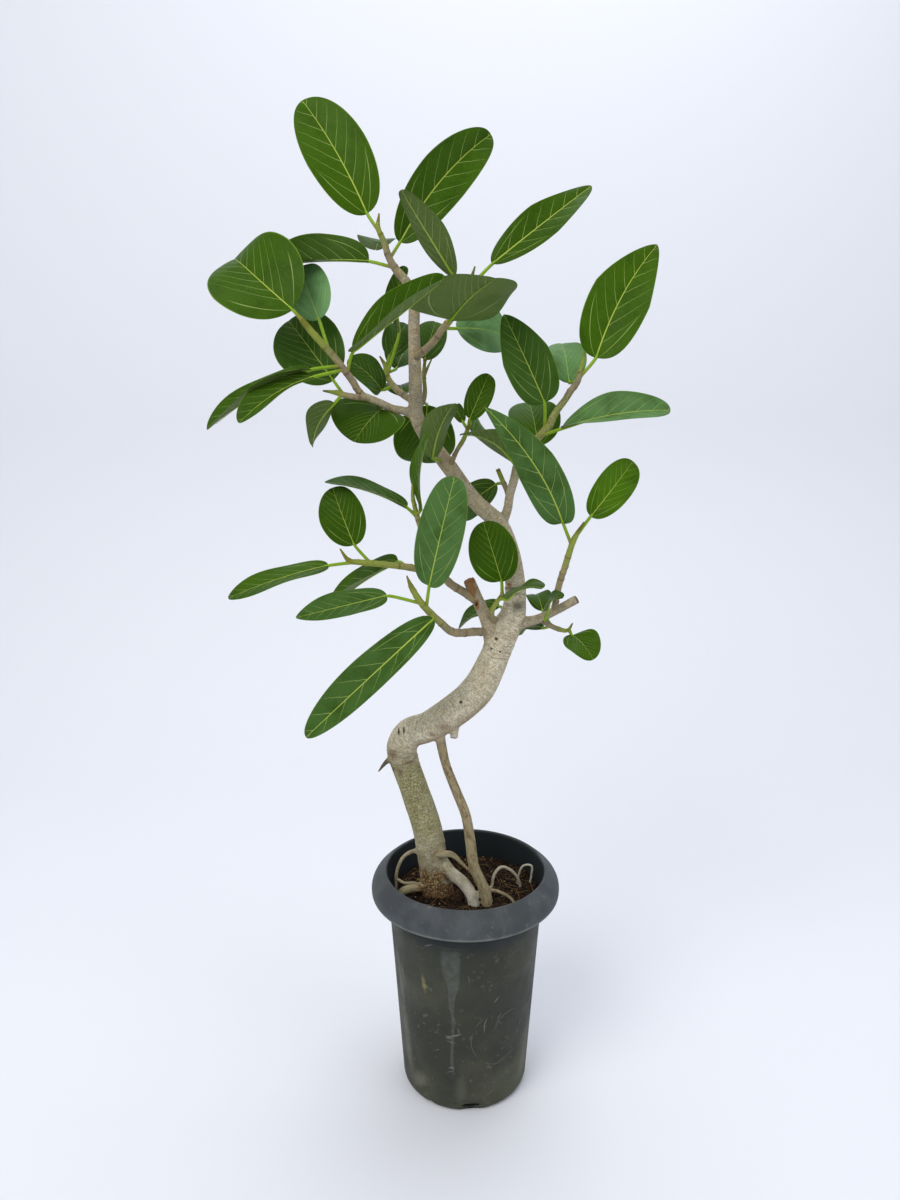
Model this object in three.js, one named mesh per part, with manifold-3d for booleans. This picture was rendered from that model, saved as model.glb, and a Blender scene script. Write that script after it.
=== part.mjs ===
// A banyan fig (Ficus benghalensis) trained as a bonsai, built together with its pot.
// Millimetres, +Z up, the front towards -Y. The origin is the middle of the pot's underside.

import * as THREE from 'three'
import { mergeVertices } from 'three/addons/utils/BufferGeometryUtils.js'
import Module from 'manifold-3d'

const wasm = await Module()
wasm.setup()

// Driving sizes of the pot, from its underside up
const potBaseRadius = 72
const potNeckRadius = 85.8
const potMouthRadius = 88
const collarRadius = 105
const collarLow = 234.5
const neckHeight = 226
const lipHeight = 262
const wallThickness = 2.2
const floorThickness = 3.2
const potSides = 30
const drainSlots = { count: 6, length: 16, width: 5, atRadius: 50 }

// Driving sizes of what fills the pot
const soilHeight = 233
const soilRipple = 3
const seatGap = 0.3

// Fineness of the wood and the leaves
const trunkSides = 10
const trunkStep = 19
const limbSides = 7
const rootSides = 5
const limbStep = 15
const twigSides = 5
const twigStep = 10
const bladeThickness = 0.8
const smallLeaf = 39
const blades = { wide: { across: 4, along: 6 }, small: { across: 2, along: 5 } }
const stalk = { radius: 1.9, neckRadius: 1.6, ribRadius: 0.9, ribShare: 0.12, sides: 4, step: 16 }
const crumb = 20

const colours = {
  pot: new THREE.MeshStandardMaterial({ color: 0x45494d, roughness: 0.55, metalness: 0 }),
  soil: new THREE.MeshStandardMaterial({ color: 0x35261c, roughness: 1, metalness: 0 }),
  bark: new THREE.MeshStandardMaterial({ color: 0xb3a68c, roughness: 0.85, metalness: 0 }),
  leaf: new THREE.MeshStandardMaterial({ color: 0x2f5f1c, roughness: 0.45, metalness: 0 }),
}

const bonsai = new THREE.Group()

// A closed geometry as a solid that can be joined and cut
function solidOf(geometry) {
  geometry.deleteAttribute('normal')
  geometry.deleteAttribute('uv')
  const merged = mergeVertices(geometry, 1e-4)
  const mesh = new wasm.Mesh({
    numProp: 3,
    vertProperties: new Float32Array(merged.attributes.position.array),
    triVerts: new Uint32Array(merged.index.array),
  })
  return new wasm.Manifold(mesh)
}

function geometryOf(solid) {
  const mesh = solid.getMesh()
  const geometry = new THREE.BufferGeometry()
  geometry.setAttribute('position', new THREE.BufferAttribute(mesh.vertProperties, 3))
  geometry.setIndex(new THREE.BufferAttribute(mesh.triVerts, 1))
  geometry.computeVertexNormals()
  return geometry
}

const joined = (solids) => solids.reduce((whole, next) => whole.add(next))

// Where a cut leaves crumbs beside the body, only the body stays. More than a crumb is a leaf or
// a twig that starts off its line, which is a mistake.
function bodyOf(name, solid) {
  const pieces = solid.decompose()
  const body = pieces.reduce((best, next) => (next.volume() > best.volume() ? next : best))
  const loose = solid.volume() - body.volume()
  if (loose > crumb) throw new Error(`${name} has ${loose.toFixed(0)} mm3 loose`)
  return body
}

function addPiece(name, solid, material) {
  const mesh = new THREE.Mesh(geometryOf(bodyOf(name, solid)), material)
  mesh.name = name
  bonsai.add(mesh)
}

// The value at a share of the way through a list of evenly spaced values
function between(values, share) {
  const place = share * (values.length - 1)
  const low = Math.min(Math.floor(place), values.length - 2)
  return values[low] + (values[low + 1] - values[low]) * (place - low)
}

function curveThrough(stations) {
  const centres = stations.map(([x, y, z]) => new THREE.Vector3(x, y, z))
  return new THREE.CatmullRomCurve3(centres, false, 'centripetal')
}

// A round bent stem through stations [x, y, z, radius]. With grow it is thicker and longer all
// round, which is the shape of the hollow that such a stem sits in.
function stem(stations, sides, step, grow = 0) {
  const curve = curveThrough(stations)
  const radii = stations.map((station) => station[3] + grow)
  const rings = Math.max(2, Math.round(curve.getLength() / step))
  const frames = curve.computeFrenetFrames(rings, false)
  const tube = new THREE.CylinderGeometry(1, 1, 1, sides, rings)
  const spots = tube.attributes.position
  for (let i = 0; i < spots.count; i += 1) {
    const ring = Math.round((spots.getY(i) + 0.5) * rings)
    const along = curve.getUtoTmapping(ring / rings)
    const radius = between(radii, along)
    const spot = curve.getPoint(along)
    spot.addScaledVector(frames.normals[ring], spots.getX(i) * radius)
    spot.addScaledVector(frames.binormals[ring], -spots.getZ(i) * radius)
    if (ring === 0) spot.addScaledVector(frames.tangents[ring], -grow)
    if (ring === rings) spot.addScaledVector(frames.tangents[ring], grow)
    spots.setXYZ(i, spot.x, spot.y, spot.z)
  }
  return solidOf(tube)
}

// The pot: a tapered wall, a floor with drain slots, and a rolled collar turned down at the rim
function pot() {
  const outside = [
    [0, 0],
    [potBaseRadius - 8, 0],
    [potBaseRadius - 3, 2.2],
    [potBaseRadius - 0.5, 8],
    [potNeckRadius, neckHeight],
    [potMouthRadius - 0.6, 244],
    [potMouthRadius + 2.8, 254.5],
    [potMouthRadius + 8, 251],
    [collarRadius - 4.4, 244],
    [collarRadius - 2.8, collarLow + 1],
  ]
  const collar = [
    [collarRadius - 1, collarLow],
    [collarRadius, collarLow + 5.5],
    [collarRadius - 0.8, 246],
    [collarRadius - 4, 252.3],
    [collarRadius - 9.5, 257.5],
    [potMouthRadius + 3.6, 260.8],
    [potMouthRadius + 1.6, lipHeight],
    [potMouthRadius + 0.2, 261],
  ]
  const inside = [
    [potMouthRadius - 0.8, 255],
    [potNeckRadius - wallThickness, neckHeight],
    [potBaseRadius - wallThickness - 0.4, 9],
    [potBaseRadius - 10, floorThickness],
    [0, floorThickness],
  ]
  const profile = [...outside, ...collar, ...inside].map(([r, z]) => new THREE.Vector2(r, z))
  const turned = new THREE.LatheGeometry(profile, potSides)
  turned.rotateX(Math.PI / 2)
  let body = solidOf(turned)
  for (let i = 0; i < drainSlots.count; i += 1) {
    const { count, length, width, atRadius } = drainSlots
    const slot = new THREE.BoxGeometry(length, width, 4 * floorThickness)
    slot.translate(atRadius, 0, 0)
    slot.rotateZ(((i + 0.5) * 2 * Math.PI) / count)
    body = body.subtract(solidOf(slot))
  }
  return body
}

// The potting mix: it fills the pot to a lumpy top
function soil() {
  const wall = (z) => {
    const share = (z - 9) / (neckHeight - 9)
    const low = potBaseRadius - wallThickness - 0.4
    return low + (potNeckRadius - wallThickness - low) * share - seatGap
  }
  const profile = [
    [0, floorThickness + seatGap],
    [potBaseRadius - 10.5, floorThickness + seatGap],
    [wall(9), 9],
    [wall(120), 120],
    [wall(neckHeight), neckHeight],
    [wall(neckHeight) - 9, soilHeight - 1],
    [52, soilHeight],
    [28, soilHeight],
    [0, soilHeight],
  ].map(([r, z]) => new THREE.Vector2(r, z))
  const turned = new THREE.LatheGeometry(profile, potSides)
  turned.rotateX(Math.PI / 2)
  const spots = turned.attributes.position
  for (let i = 0; i < spots.count; i += 1) {
    const [x, y, z] = [spots.getX(i), spots.getY(i), spots.getZ(i)]
    if (z < soilHeight - 2) continue
    const lumps = Math.sin(x / 10 + 0.6) * Math.cos(y / 8) + 0.5 * Math.sin((x - y) / 5)
    spots.setZ(i, z + soilRipple * lumps + x * 0.03)
  }
  return solidOf(turned)
}

// The trunk climbs from its root crown in an S: up to an elbow on the left, over to the right,
// and back left to the crown. Stations are [x, y, z, radius].
const trunkLine = [
  [-22, 4, 172, 9],
  [-26, 2, 198, 15],
  [-30, 0, 221, 19.5],
  [-33, 0, 242, 17.5],
  [-36, 0, 264, 16.4],
  [-43, 0, 309, 16.4],
  [-56, 2, 353, 15.4],
  [-66, 4, 382, 15.6],
  [-70, 4, 403, 16.8],
  [-61, 4, 419, 16.8],
  [-41, 2, 427, 16.4],
  [-11, 0, 448, 17.8],
  [14, 0, 473, 17.6],
  [30, 0, 508, 15.8],
  [39, 0, 534, 16.6],
  [48, 0, 551, 13.8],
  [51, 0, 568, 11.6],
  [51, 0, 585, 10.8],
  [47, 2, 611, 10.3],
  [41, 4, 632, 9.8],
  [33, 6, 649, 9.2],
  [12, 8, 668, 8.4],
  [0, 8, 682, 8.2],
  [-16, 8, 704, 8.2],
  [-42, 8, 739, 7.7],
  [-51, 8, 758, 7.4],
  [-52, 8, 791, 7],
  [-53, 8, 842, 5.9],
  [-53, 7, 870, 5.4],
  [-58, 6, 884, 4.8],
  [-70, 4, 898, 4],
]

const limbs = {
  aerialRoot: [
    [-30, 0, 432, 7],
    [-28, -1, 416, 5.8],
    [-22, -4, 387, 5],
    [-11, -8, 358, 5.2],
    [0, -14, 331, 5.5],
    [5, -18, 302, 5.8],
    [9, -22, 274, 6],
    [20, -26, 249, 6.4],
    [24, -30, 234, 6.4],
    [27, -33, 206, 5],
  ],
  paleRoot: [
    [-30, -3, 272, 9],
    [-17, -10, 260, 7.2],
    [-3, -18, 252, 6.8],
    [7, -27, 241, 6.6],
    [9, -33, 228, 6],
    [9, -37, 206, 4.5],
  ],
  leftRoot: [
    [-32, -2, 236, 9],
    [-44, -6, 240, 6],
    [-60, -9, 240, 5.2],
    [-72, -12, 236, 4.5],
    [-74, -13, 220, 3.2],
  ],
  archRoot: [
    [-44, 0, 277, 4],
    [-56, 0, 281, 2.7],
    [-68, -2, 276, 2.3],
    [-76, -3, 261, 2.2],
    [-78, -3, 243, 2.2],
    [-77, -4, 222, 2],
  ],
  archFork: [
    [-77, -3, 248, 2.2],
    [-69, -6, 245, 2],
    [-57, -8, 246, 2],
    [-46, -7, 242, 2],
  ],
  knuckleRoot: [
    [-38, -6, 280, 5],
    [-26, -13, 284, 4.4],
    [-15, -14, 284, 4],
    [-3, -16, 273, 2.6],
    [8, -21, 264, 2.4],
  ],
  loopRoot: [
    [20, -25, 248, 2.6],
    [29, -12, 244, 2.2],
    [32, -8, 256, 2.2],
    [40, -4, 263, 2.2],
    [51, -2, 258, 2.2],
    [60, 0, 245, 2],
    [64, 2, 224, 1.8],
  ],
  rimLoopRoot: [
    [25, -30, 214, 2.6],
    [44, -4, 213, 2.2],
    [58, 9, 226, 1.8],
    [61, 10, 246, 1.6],
    [66, 10, 257, 1.6],
    [75, 10, 257, 1.6],
    [75, 8, 245, 1.6],
    [70, 6, 222, 1.6],
  ],
  rightRoot: [
    [20, -26, 246, 3.4],
    [30, -22, 245, 2.8],
    [42, -26, 243, 2.6],
    [52, -34, 239, 2.4],
    [58, -40, 222, 2],
  ],
  leftStub: [
    [27, 0, 526, 9],
    [22, -1, 545, 7],
    [16, -3, 560, 6.5],
    [2, -6, 592, 6.2],
  ],
  rightStub: [
    [47, 0, 541, 8],
    [62, 0, 545, 5.8],
    [74, 0, 548, 4.9],
    [91, -3, 557, 4.7],
    [115, -8, 572, 4.7],
  ],
  shortStub: [
    [-10, -2, 444, 5],
    [-12, -6, 428, 4.4],
    [-13, -8, 418, 4.2],
  ],
  elbowSpike: [
    [-68, 3, 400, 4],
    [-86, -2, 389, 2.8],
    [-96, -4, 377, 1],
  ],
  leftLimb: [
    [-51, 8, 757, 5],
    [-63, 6, 763, 4.4],
    [-74, 4, 765, 4.1],
    [-87, -2, 771, 4],
    [-98, -7, 776, 3.8],
    [-107, -10, 780, 3.6],
  ],
  rightLimb: [
    [33, 6, 646, 7],
    [38, 6, 653, 5.3],
    [42, 5, 664, 4.8],
    [44, 3, 679, 4.6],
    [48, 0, 695, 4.6],
    [50, -3, 707, 4.5],
    [53, -6, 719, 4.3],
    [65, -9, 731, 4.2],
    [80, -13, 749, 4],
    [88, -15, 764, 3.7],
    [96, -17, 775, 3.5],
    [102, -19, 785, 3.3],
  ],
}

function wood(grow = 0) {
  const trunk = stem(trunkLine, trunkSides, trunkStep, grow)
  const side = Object.values(limbs).map((line) => {
    const sides = line[1][3] > 3.8 ? limbSides : rootSides
    return stem(line, sides, limbStep, grow)
  })
  return joined([trunk, ...side])
}

// A leaf's midrib and blade. face is the way its upper side looks. arch lifts the middle of the
// blade, sway bends it sideways, curl turns the tip under, twist winds it end to end, fold closes
// the two halves upwards, and point narrows the tip. Lengths in mm, angles in degrees.
function bladeShape({ base, tip, width, face, arch = 6, sway = 0, curl = 0, twist = 0, fold = 14,
  point = 0.35, wave = 1.6 }) {
  const from = new THREE.Vector3(...base)
  const to = new THREE.Vector3(...tip)
  const chord = to.clone().sub(from).normalize()
  const up = squared(new THREE.Vector3(...face), chord)
  const aside = chord.clone().cross(up)
  const middle = from.clone().lerp(to, 0.5).addScaledVector(up, 2 * arch)
  middle.addScaledVector(aside, 2 * sway)
  const midrib = new THREE.QuadraticBezierCurve3(from, middle, to)
  const closed = THREE.MathUtils.degToRad(fold)

  return function at(across, row) {
    const share = 0.5 - 0.5 * Math.cos(Math.PI * row)
    const tangent = midrib.getTangent(share)
    const turn = THREE.MathUtils.degToRad(twist * (share - 0.5))
    const normal = squared(up, tangent).applyAxisAngle(tangent, turn)
    const side = tangent.clone().cross(normal)
    const tipward = Math.max(0, 2 * row - 1)
    const round = Math.sin(Math.PI * row) * (1 - 0.45 * point * tipward)
    const half = Math.max(0.9, (width / 2) * round ** 0.92)
    const lift = half * Math.abs(across) * Math.sin(closed)
    const ripple = wave * across * across * Math.sin(8 * share + 2 * across)
    const turned = curl * Math.max(0, (share - 0.65) / 0.35) ** 2
    const spot = midrib.getPoint(share)
    spot.addScaledVector(side, half * across * Math.cos(closed))
    spot.addScaledVector(normal, lift + ripple - turned)
    return { spot, normal }
  }
}

function squared(direction, axis) {
  return direction.clone().addScaledVector(axis, -direction.dot(axis)).normalize()
}

// The blade: two skins split into triangles alike, closed round the rim
function blade(at, { across, along }) {
  const sheet = new THREE.PlaneGeometry(2, 1, across, along)
  const plan = sheet.attributes.position
  const upper = []
  const lower = []
  for (let i = 0; i < plan.count; i += 1) {
    const { spot, normal } = at(plan.getX(i), plan.getY(i) + 0.5)
    upper.push(...spot)
    lower.push(...spot.addScaledVector(normal, -bladeThickness))
  }
  const top = Array.from(sheet.index.array)
  const faces = [...top]
  const edges = new Set()
  for (let i = 0; i < top.length; i += 3) {
    const [a, b, c] = top.slice(i, i + 3)
    faces.push(plan.count + a, plan.count + c, plan.count + b)
    edges.add(`${a} ${b}`).add(`${b} ${c}`).add(`${c} ${a}`)
  }
  for (const edge of edges) {
    const [a, b] = edge.split(' ').map(Number)
    if (edges.has(`${b} ${a}`)) continue
    faces.push(b, a, plan.count + a, b, plan.count + a, plan.count + b)
  }
  const skin = new THREE.BufferGeometry()
  skin.setAttribute('position', new THREE.Float32BufferAttribute([...upper, ...lower], 3))
  skin.setIndex(faces)
  return solidOf(skin)
}

// A leaf on its stalk, which runs on under the blade as the start of the midrib
function leaf(root, form) {
  const at = bladeShape(form)
  const neck = at(0, 0)
  const rib = at(0, stalk.ribShare)
  rib.spot.addScaledVector(rib.normal, -bladeThickness)
  neck.spot.addScaledVector(neck.normal, -bladeThickness / 2)
  const line = [
    [...root, stalk.radius],
    [...neck.spot, stalk.neckRadius],
    [...rib.spot, stalk.ribRadius],
  ]
  const fineness = form.width < smallLeaf ? blades.small : blades.wide
  return [blade(at, fineness), stem(line, stalk.sides, stalk.step)]
}

// A leafy shoot: its twigs, each with leaves that start on its line at a share of its length
function shoot(twigs) {
  const parts = []
  for (const { line, leaves = [] } of twigs) {
    const curve = curveThrough(line)
    if (line.length > 2) parts.push(stem(line, twigSides, twigStep))
    for (const form of leaves) {
      parts.push(...leaf(curve.getPointAt(form.on ?? 0), form))
    }
  }
  return joined(parts)
}

// The shoots. A twig of only two stations is the place on the wood where a lone leaf starts.
const shoots = {
  shoot_top: [
    {
      line: [
        [-64, 5, 891, 4.2],
        [-70, 4, 898, 3.9],
        [-76, 2, 908, 3.4],
        [-81, 0, 923, 2.9],
        [-86, -2, 935, 2.4],
        [-85, -2, 948, 0.7],
      ],
      leaves: [
        { on: 0.18, base: [-96, 6, 906], tip: [-200, 36, 904], width: 54,
          face: [0, -0.7, 0.7], fold: 36, arch: 4 },
        { on: 0.32, base: [-66, 12, 924], tip: [23, 50, 1030], width: 54,
          face: [0.3, -1, 0.1], fold: 12, sway: -8 },
        { on: 0.55, base: [-84, 22, 925], tip: [-96, 92, 928], width: 44, face: [0, -0.05, 1], fold: 8 },
        { on: 0.72, base: [-97, 6, 949], tip: [-160, 34, 1056], width: 63,
          face: [0, -1, 0.25], fold: 8, sway: 3 },
      ],
    },
  ],
  shoot_upper_left: [
    {
      line: [
        [-103, -9, 778, 3.6],
        [-107, -10, 782, 3.5],
        [-112, -14, 791, 3.5],
        [-126, -22, 811, 3.4],
        [-150, -30, 839, 3.3],
        [-158, -32, 849, 2.8],
      ],
      leaves: [
        { on: 1, base: [-166, -33, 858], tip: [-235, 25, 916], width: 95,
          face: [0, -0.9, 0.35], curl: 8, sway: -2 },
        { on: 0.58, base: [-144, -12, 850], tip: [-166, 20, 902], width: 46, face: [0, -1, 0.2] },
        { on: 0.4, base: [-150, -37, 803], tip: [-241, -78, 748], width: 40,
          face: [-0.1, -0.1, 1], fold: 28 },
        { on: 0.34, base: [-147, -45, 796], tip: [-207, -98, 755], width: 38,
          face: [-0.1, -0.5, 1], fold: 20 },
        { on: 0.3, base: [-111, -28, 819], tip: [-21, -108, 878], width: 48,
          face: [-0.5, -0.6, 0.6], fold: 36, arch: 0 },
      ],
    },
  ],
  shoot_lower_left: [
    {
      line: [
        [-101, -10, 776, 2.8],
        [-109, -16, 777, 3],
        [-121, -19, 779, 3],
        [-128, -18, 781, 2.6],
        [-141, -22, 783, 0.8],
      ],
      leaves: [
        { on: 0.5, base: [-133, -2, 793], tip: [-181, 34, 852], width: 70, face: [0.1, -1, 0.1] },
        { on: 0.55, base: [-130, -25, 771], tip: [-149, -52, 732], width: 34, face: [-0.3, 0.6, 0.6] },
      ],
    },
  ],
  leaf_under_left_limb: [
    {
      line: [[-88, -2, 771], [-98, -7, 776]],
      leaves: [
        { base: [-86, 8, 765], tip: [-111, -26, 734], width: 82, face: [-0.25, -0.9, 0.4], arch: 4 },
      ],
    },
  ],
  shoot_back_left: [
    {
      line: [
        [-52, 8, 771, 3.5],
        [-59, 18, 775, 3.5],
        [-71, 32, 783, 3.4],
        [-82, 46, 796, 3.1],
        [-85, 54, 808, 2.6],
        [-91, 58, 818, 0.8],
      ],
      leaves: [
        { on: 0.82, base: [-81, 60, 818], tip: [-64, 78, 852], width: 32, face: [0, -1, 0.2] },
        { on: 0.75, base: [-74, 68, 806], tip: [-62, 118, 830], width: 42, face: [0, -0.8, 0.6] },
        { on: 0.5, base: [-88, 34, 783], tip: [-120, 14, 813], width: 36, face: [0.2, -0.8, 0.5] },
        { on: 0.4, base: [-66, 50, 778], tip: [-74, 104, 786], width: 46, face: [0, -0.5, 0.9] },
        { on: 0.7, base: [-70, 50, 842], tip: [-64, 60, 908], width: 32, face: [-0.8, -0.6, 0], twist: 60 },
      ],
    },
  ],
  shoot_front_right: [
    {
      line: [
        [-53, 8, 814, 4],
        [-46, -2, 819, 3.8],
        [-34, -10, 829, 3.5],
        [-24, -17, 842, 3.4],
        [-18, -20, 848, 3.3],
        [-6, -28, 867, 3],
        [1, -34, 881, 2.4],
        [6, -36, 896, 0.7],
      ],
      leaves: [
        { on: 0.47, base: [-17, -25, 849], tip: [23, -86, 880], width: 104,
          face: [0, 0.08, 1], fold: 6, arch: 4 },
        { on: 0.42, base: [-11, -11, 842], tip: [41, 22, 836], width: 58, face: [0, -0.9, 0.4] },
        { on: 0.75, base: [-13, -42, 886], tip: [-60, -68, 956], width: 34,
          face: [0.6, 0.75, 0.2], sway: 5 },
        { on: 0.8, base: [23, -14, 901], tip: [120, 22, 977], width: 41,
          face: [-0.1, -0.9, 0.5], sway: 3, point: 0.8 },
      ],
    },
  ],
  shoot_behind_trunk: [
    {
      line: [
        [-52, 8, 765, 3],
        [-45, 20, 772, 2.6],
        [-43, 26, 782, 2.3],
        [-44, 28, 799, 2],
        [-43, 30, 813, 1.6],
      ],
      leaves: [
        { on: 1, base: [-43, 32, 814], tip: [-32, 50, 852], width: 34, face: [0, -1, 0.2] },
        { on: 0.25, base: [-41, 40, 768], tip: [-48, 80, 706], width: 68, face: [0, -0.85, -0.5] },
      ],
    },
    { line: [[-44, 28, 796, 1.8], [-41, 27, 804, 1.5], [-36, 26, 814, 0.7]] },
  ],
  leaf_on_crook: [
    {
      line: [[-24, 8, 713], [-30, 8, 720]],
      leaves: [
        { base: [-35, -16, 718], tip: [-14, -46, 771], width: 40, face: [-0.6, 0.7, 0.3] },
      ],
    },
  ],
  shoot_crook: [
    {
      line: [
        [-19, 8, 706, 3],
        [-15, 0, 714, 2.6],
        [-10, -5, 725, 2.3],
        [-4, -8, 735, 2.3],
        [-1, -10, 742, 2.2],
        [2, -13, 750, 1.9],
      ],
      leaves: [
        { on: 1, base: [2, -16, 756], tip: [21, -4, 799], width: 27, face: [0, -1, 0.1] },
        { on: 0.8, base: [6, 0, 742], tip: [26, 36, 732], width: 36, face: [0, -0.7, 0.7] },
        { on: 0.9, base: [-4, -4, 752], tip: [-14, 14, 766], width: 14, face: [-0.3, -0.4, 0.8] },
      ],
    },
  ],
  shoot_right_top: [
    {
      line: [
        [97, -17, 777, 3.4],
        [102, -19, 785, 3.3],
        [107, -20, 792, 3.1],
        [109, -21, 802, 2.3],
        [113, -22, 820, 0.7],
      ],
      leaves: [
        { on: 0.45, base: [124, -20, 814], tip: [184, 8, 921], width: 60,
          face: [-0.1, -1, 0.2], sway: -6, point: 0.8 },
        { on: 0.4, base: [101, 0, 791], tip: [98, 44, 830], width: 42, face: [0, -0.8, 0.6] },
      ],
    },
  ],
  leaf_right_limb_front: [
    {
      line: [[77, -12, 745], [80, -13, 749]],
      leaves: [
        { base: [75, -21, 772], tip: [35, -8, 855], width: 50, face: [0, -1, 0.1] },
      ],
    },
  ],
  leaf_right_limb_out: [
    {
      line: [[72, -11, 739], [80, -13, 749]],
      leaves: [
        { base: [92, -24, 747], tip: [193, -44, 765], width: 48,
          face: [0, -0.6, 0.85], fold: 24, twist: 40, point: 0.6 },
      ],
    },
  ],
  leaf_right_limb_back: [
    {
      line: [[65, -9, 731], [70, -10, 737]],
      leaves: [
        { base: [73, 14, 727], tip: [67, 62, 770], width: 56, face: [0, -0.75, 0.65] },
      ],
    },
  ],
  leaf_right_limb_low: [
    {
      line: [[50, -3, 707], [53, -6, 719]],
      leaves: [
        { base: [47, -15, 712], tip: [-6, -48, 742], width: 38, face: [0.3, 0.5, 0.8], arch: 10 },
      ],
    },
  ],
  shoot_side_stub: [
    {
      line: [
        [44, 3, 677, 3],
        [38, 9, 690, 2.6],
        [32, 14, 704, 2.4],
      ],
      leaves: [
        { on: 0.5, base: [31, 24, 688], tip: [-8, 60, 650], width: 36, face: [0, -0.9, 0.4] },
      ],
    },
  ],
  shoot_right: [
    {
      line: [
        [92, -3, 558, 3.4],
        [93, -10, 575, 3.4],
        [96, -18, 595, 3.4],
        [99, -22, 607, 3.3],
        [103, -27, 625, 3.2],
        [107, -30, 639, 3],
        [116, -32, 656, 0.8],
      ],
      leaves: [
        { on: 0.74, base: [94, -40, 656], tip: [15, -72, 768], width: 52,
          face: [-0.1, -1, 0.2], sway: 8, twist: 40, point: 0.9 },
        { on: 0.8, base: [123, -28, 661], tip: [166, -10, 714], width: 38, face: [0, -1, 0.2], point: 0 },
      ],
    },
  ],
  shoot_right_low: [
    {
      line: [
        [77, 0, 549, 3.2],
        [85, -3, 544, 2.9],
        [96, -5, 539, 2.6],
        [106, -7, 538, 2.1],
        [111, -8, 546, 0.7],
      ],
      leaves: [
        { on: 0.8, base: [110, -13, 534], tip: [128, -44, 517], width: 38, face: [0, -0.7, 0.7] },
        { on: 0.35, base: [82, 14, 535], tip: [62, 56, 516], width: 34, face: [0, -0.5, 0.9] },
        { on: 0.35, base: [82, 20, 553], tip: [77, 56, 562], width: 30, face: [0, -0.6, 0.8] },
        { on: 0.15, base: [84, -14, 561], tip: [97, -38, 581], width: 22, face: [-0.5, -0.2, 0.8] },
      ],
    },
  ],
  shoot_fork: [
    {
      line: [
        [36, 0, 544, 3],
        [26, -15, 556, 2.8],
        [28, -21, 567, 2.5],
        [36, -24, 580, 2.1],
      ],
      leaves: [
        { on: 1, base: [35, -28, 595], tip: [16, -24, 655], width: 50, face: [0, -1, 0.1] },
        { on: 0.9, base: [41, -31, 577], tip: [71, -84, 600], width: 30, face: [-0.1, -0.25, 1] },
      ],
    },
  ],
  leaf_fork_back: [
    {
      line: [[44, 0, 552], [48, 0, 560]],
      leaves: [
        { base: [36, 28, 556], tip: [-8, 64, 520], width: 34, face: [0, -0.5, 0.9] },
      ],
    },
  ],
  shoot_left: [
    {
      line: [
        [13, -4, 567, 4.8],
        [-1, -8, 578, 4.4],
        [-15, -14, 588, 4.2],
        [-28, -19, 600, 4.1],
        [-57, -28, 609, 3.6],
        [-79, -34, 613, 3.2],
        [-107, -41, 617, 3],
        [-117, -44, 619, 2.6],
        [-126, -44, 631, 0.7],
      ],
      leaves: [
        { on: 0.78, base: [-112, -40, 634], tip: [-134, -24, 689], width: 46, face: [0, -1, 0.1] },
        { on: 0.86, base: [-137, -52, 616], tip: [-229, -84, 590], width: 42,
          face: [0, -0.25, 1], fold: 8, arch: 3 },
        { on: 0.55, base: [-70, -14, 613], tip: [-156, 44, 540], width: 46,
          face: [-0.3, -0.4, 1], fold: 24 },
      ],
    },
    {
      line: [
        [-28, -19, 600, 3.6],
        [-36, -24, 625, 3],
        [-45, -28, 645, 2.8],
        [-50, -31, 662, 2.6],
        [-54, -33, 682, 1.9],
        [-53, -35, 704, 0.7],
      ],
      leaves: [
        { on: 0.6, base: [-60, -34, 671], tip: [-141, -28, 695], width: 42, face: [0, -0.12, 1], arch: 5 },
        { on: 0.62, base: [-46, -38, 669], tip: [-37, -58, 744], width: 34, face: [-1, -0.25, 0] },
      ],
    },
  ],
  shoot_left_low: [
    {
      line: [
        [25, 0, 534, 4.6],
        [12, -9, 537, 4.4],
        [-14, -22, 540, 4.2],
        [-27, -32, 553, 3.8],
        [-44, -42, 573, 3.5],
        [-55, -48, 592, 2.9],
        [-60, -50, 605, 0.7],
      ],
      leaves: [
        { on: 0.68, base: [-38, -46, 594], tip: [-13, -68, 704], width: 47, face: [-0.1, -1, 0] },
        { on: 0.74, base: [-80, -54, 586], tip: [-163, -96, 574], width: 40,
          face: [0, -0.6, 1], fold: 10, arch: 0 },
        { on: 0.62, base: [-34, -50, 561], tip: [-155, -112, 460], width: 52,
          face: [0.1, -0.7, 0.8], arch: 1, point: 0 },
      ],
    },
  ],
}

const tree = wood()
const treeSeat = wood(seatGap)

addPiece('pot', pot(), colours.pot)
addPiece('soil', soil().subtract(treeSeat), colours.soil)
addPiece('trunk_and_roots', tree, colours.bark)
for (const [name, twigs] of Object.entries(shoots)) {
  addPiece(name, shoot(twigs).subtract(treeSeat), colours.leaf)
}

export default bonsai
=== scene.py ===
import math
import random

import bmesh
import bpy
from mathutils import Matrix, Quaternion, Vector, kdtree, noise


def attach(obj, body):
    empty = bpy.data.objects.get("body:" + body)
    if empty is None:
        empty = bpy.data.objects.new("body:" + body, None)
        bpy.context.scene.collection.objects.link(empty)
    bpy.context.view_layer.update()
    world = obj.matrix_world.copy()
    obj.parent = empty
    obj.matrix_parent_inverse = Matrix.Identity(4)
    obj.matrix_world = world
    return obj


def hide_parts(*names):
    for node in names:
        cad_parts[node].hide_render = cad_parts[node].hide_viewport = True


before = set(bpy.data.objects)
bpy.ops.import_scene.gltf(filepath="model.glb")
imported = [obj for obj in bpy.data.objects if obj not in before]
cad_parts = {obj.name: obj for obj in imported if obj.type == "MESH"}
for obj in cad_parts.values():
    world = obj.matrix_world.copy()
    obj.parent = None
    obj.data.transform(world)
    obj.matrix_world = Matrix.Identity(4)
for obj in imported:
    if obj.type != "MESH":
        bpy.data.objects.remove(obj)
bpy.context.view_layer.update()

mm = 0.001
scene = bpy.context.scene
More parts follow.
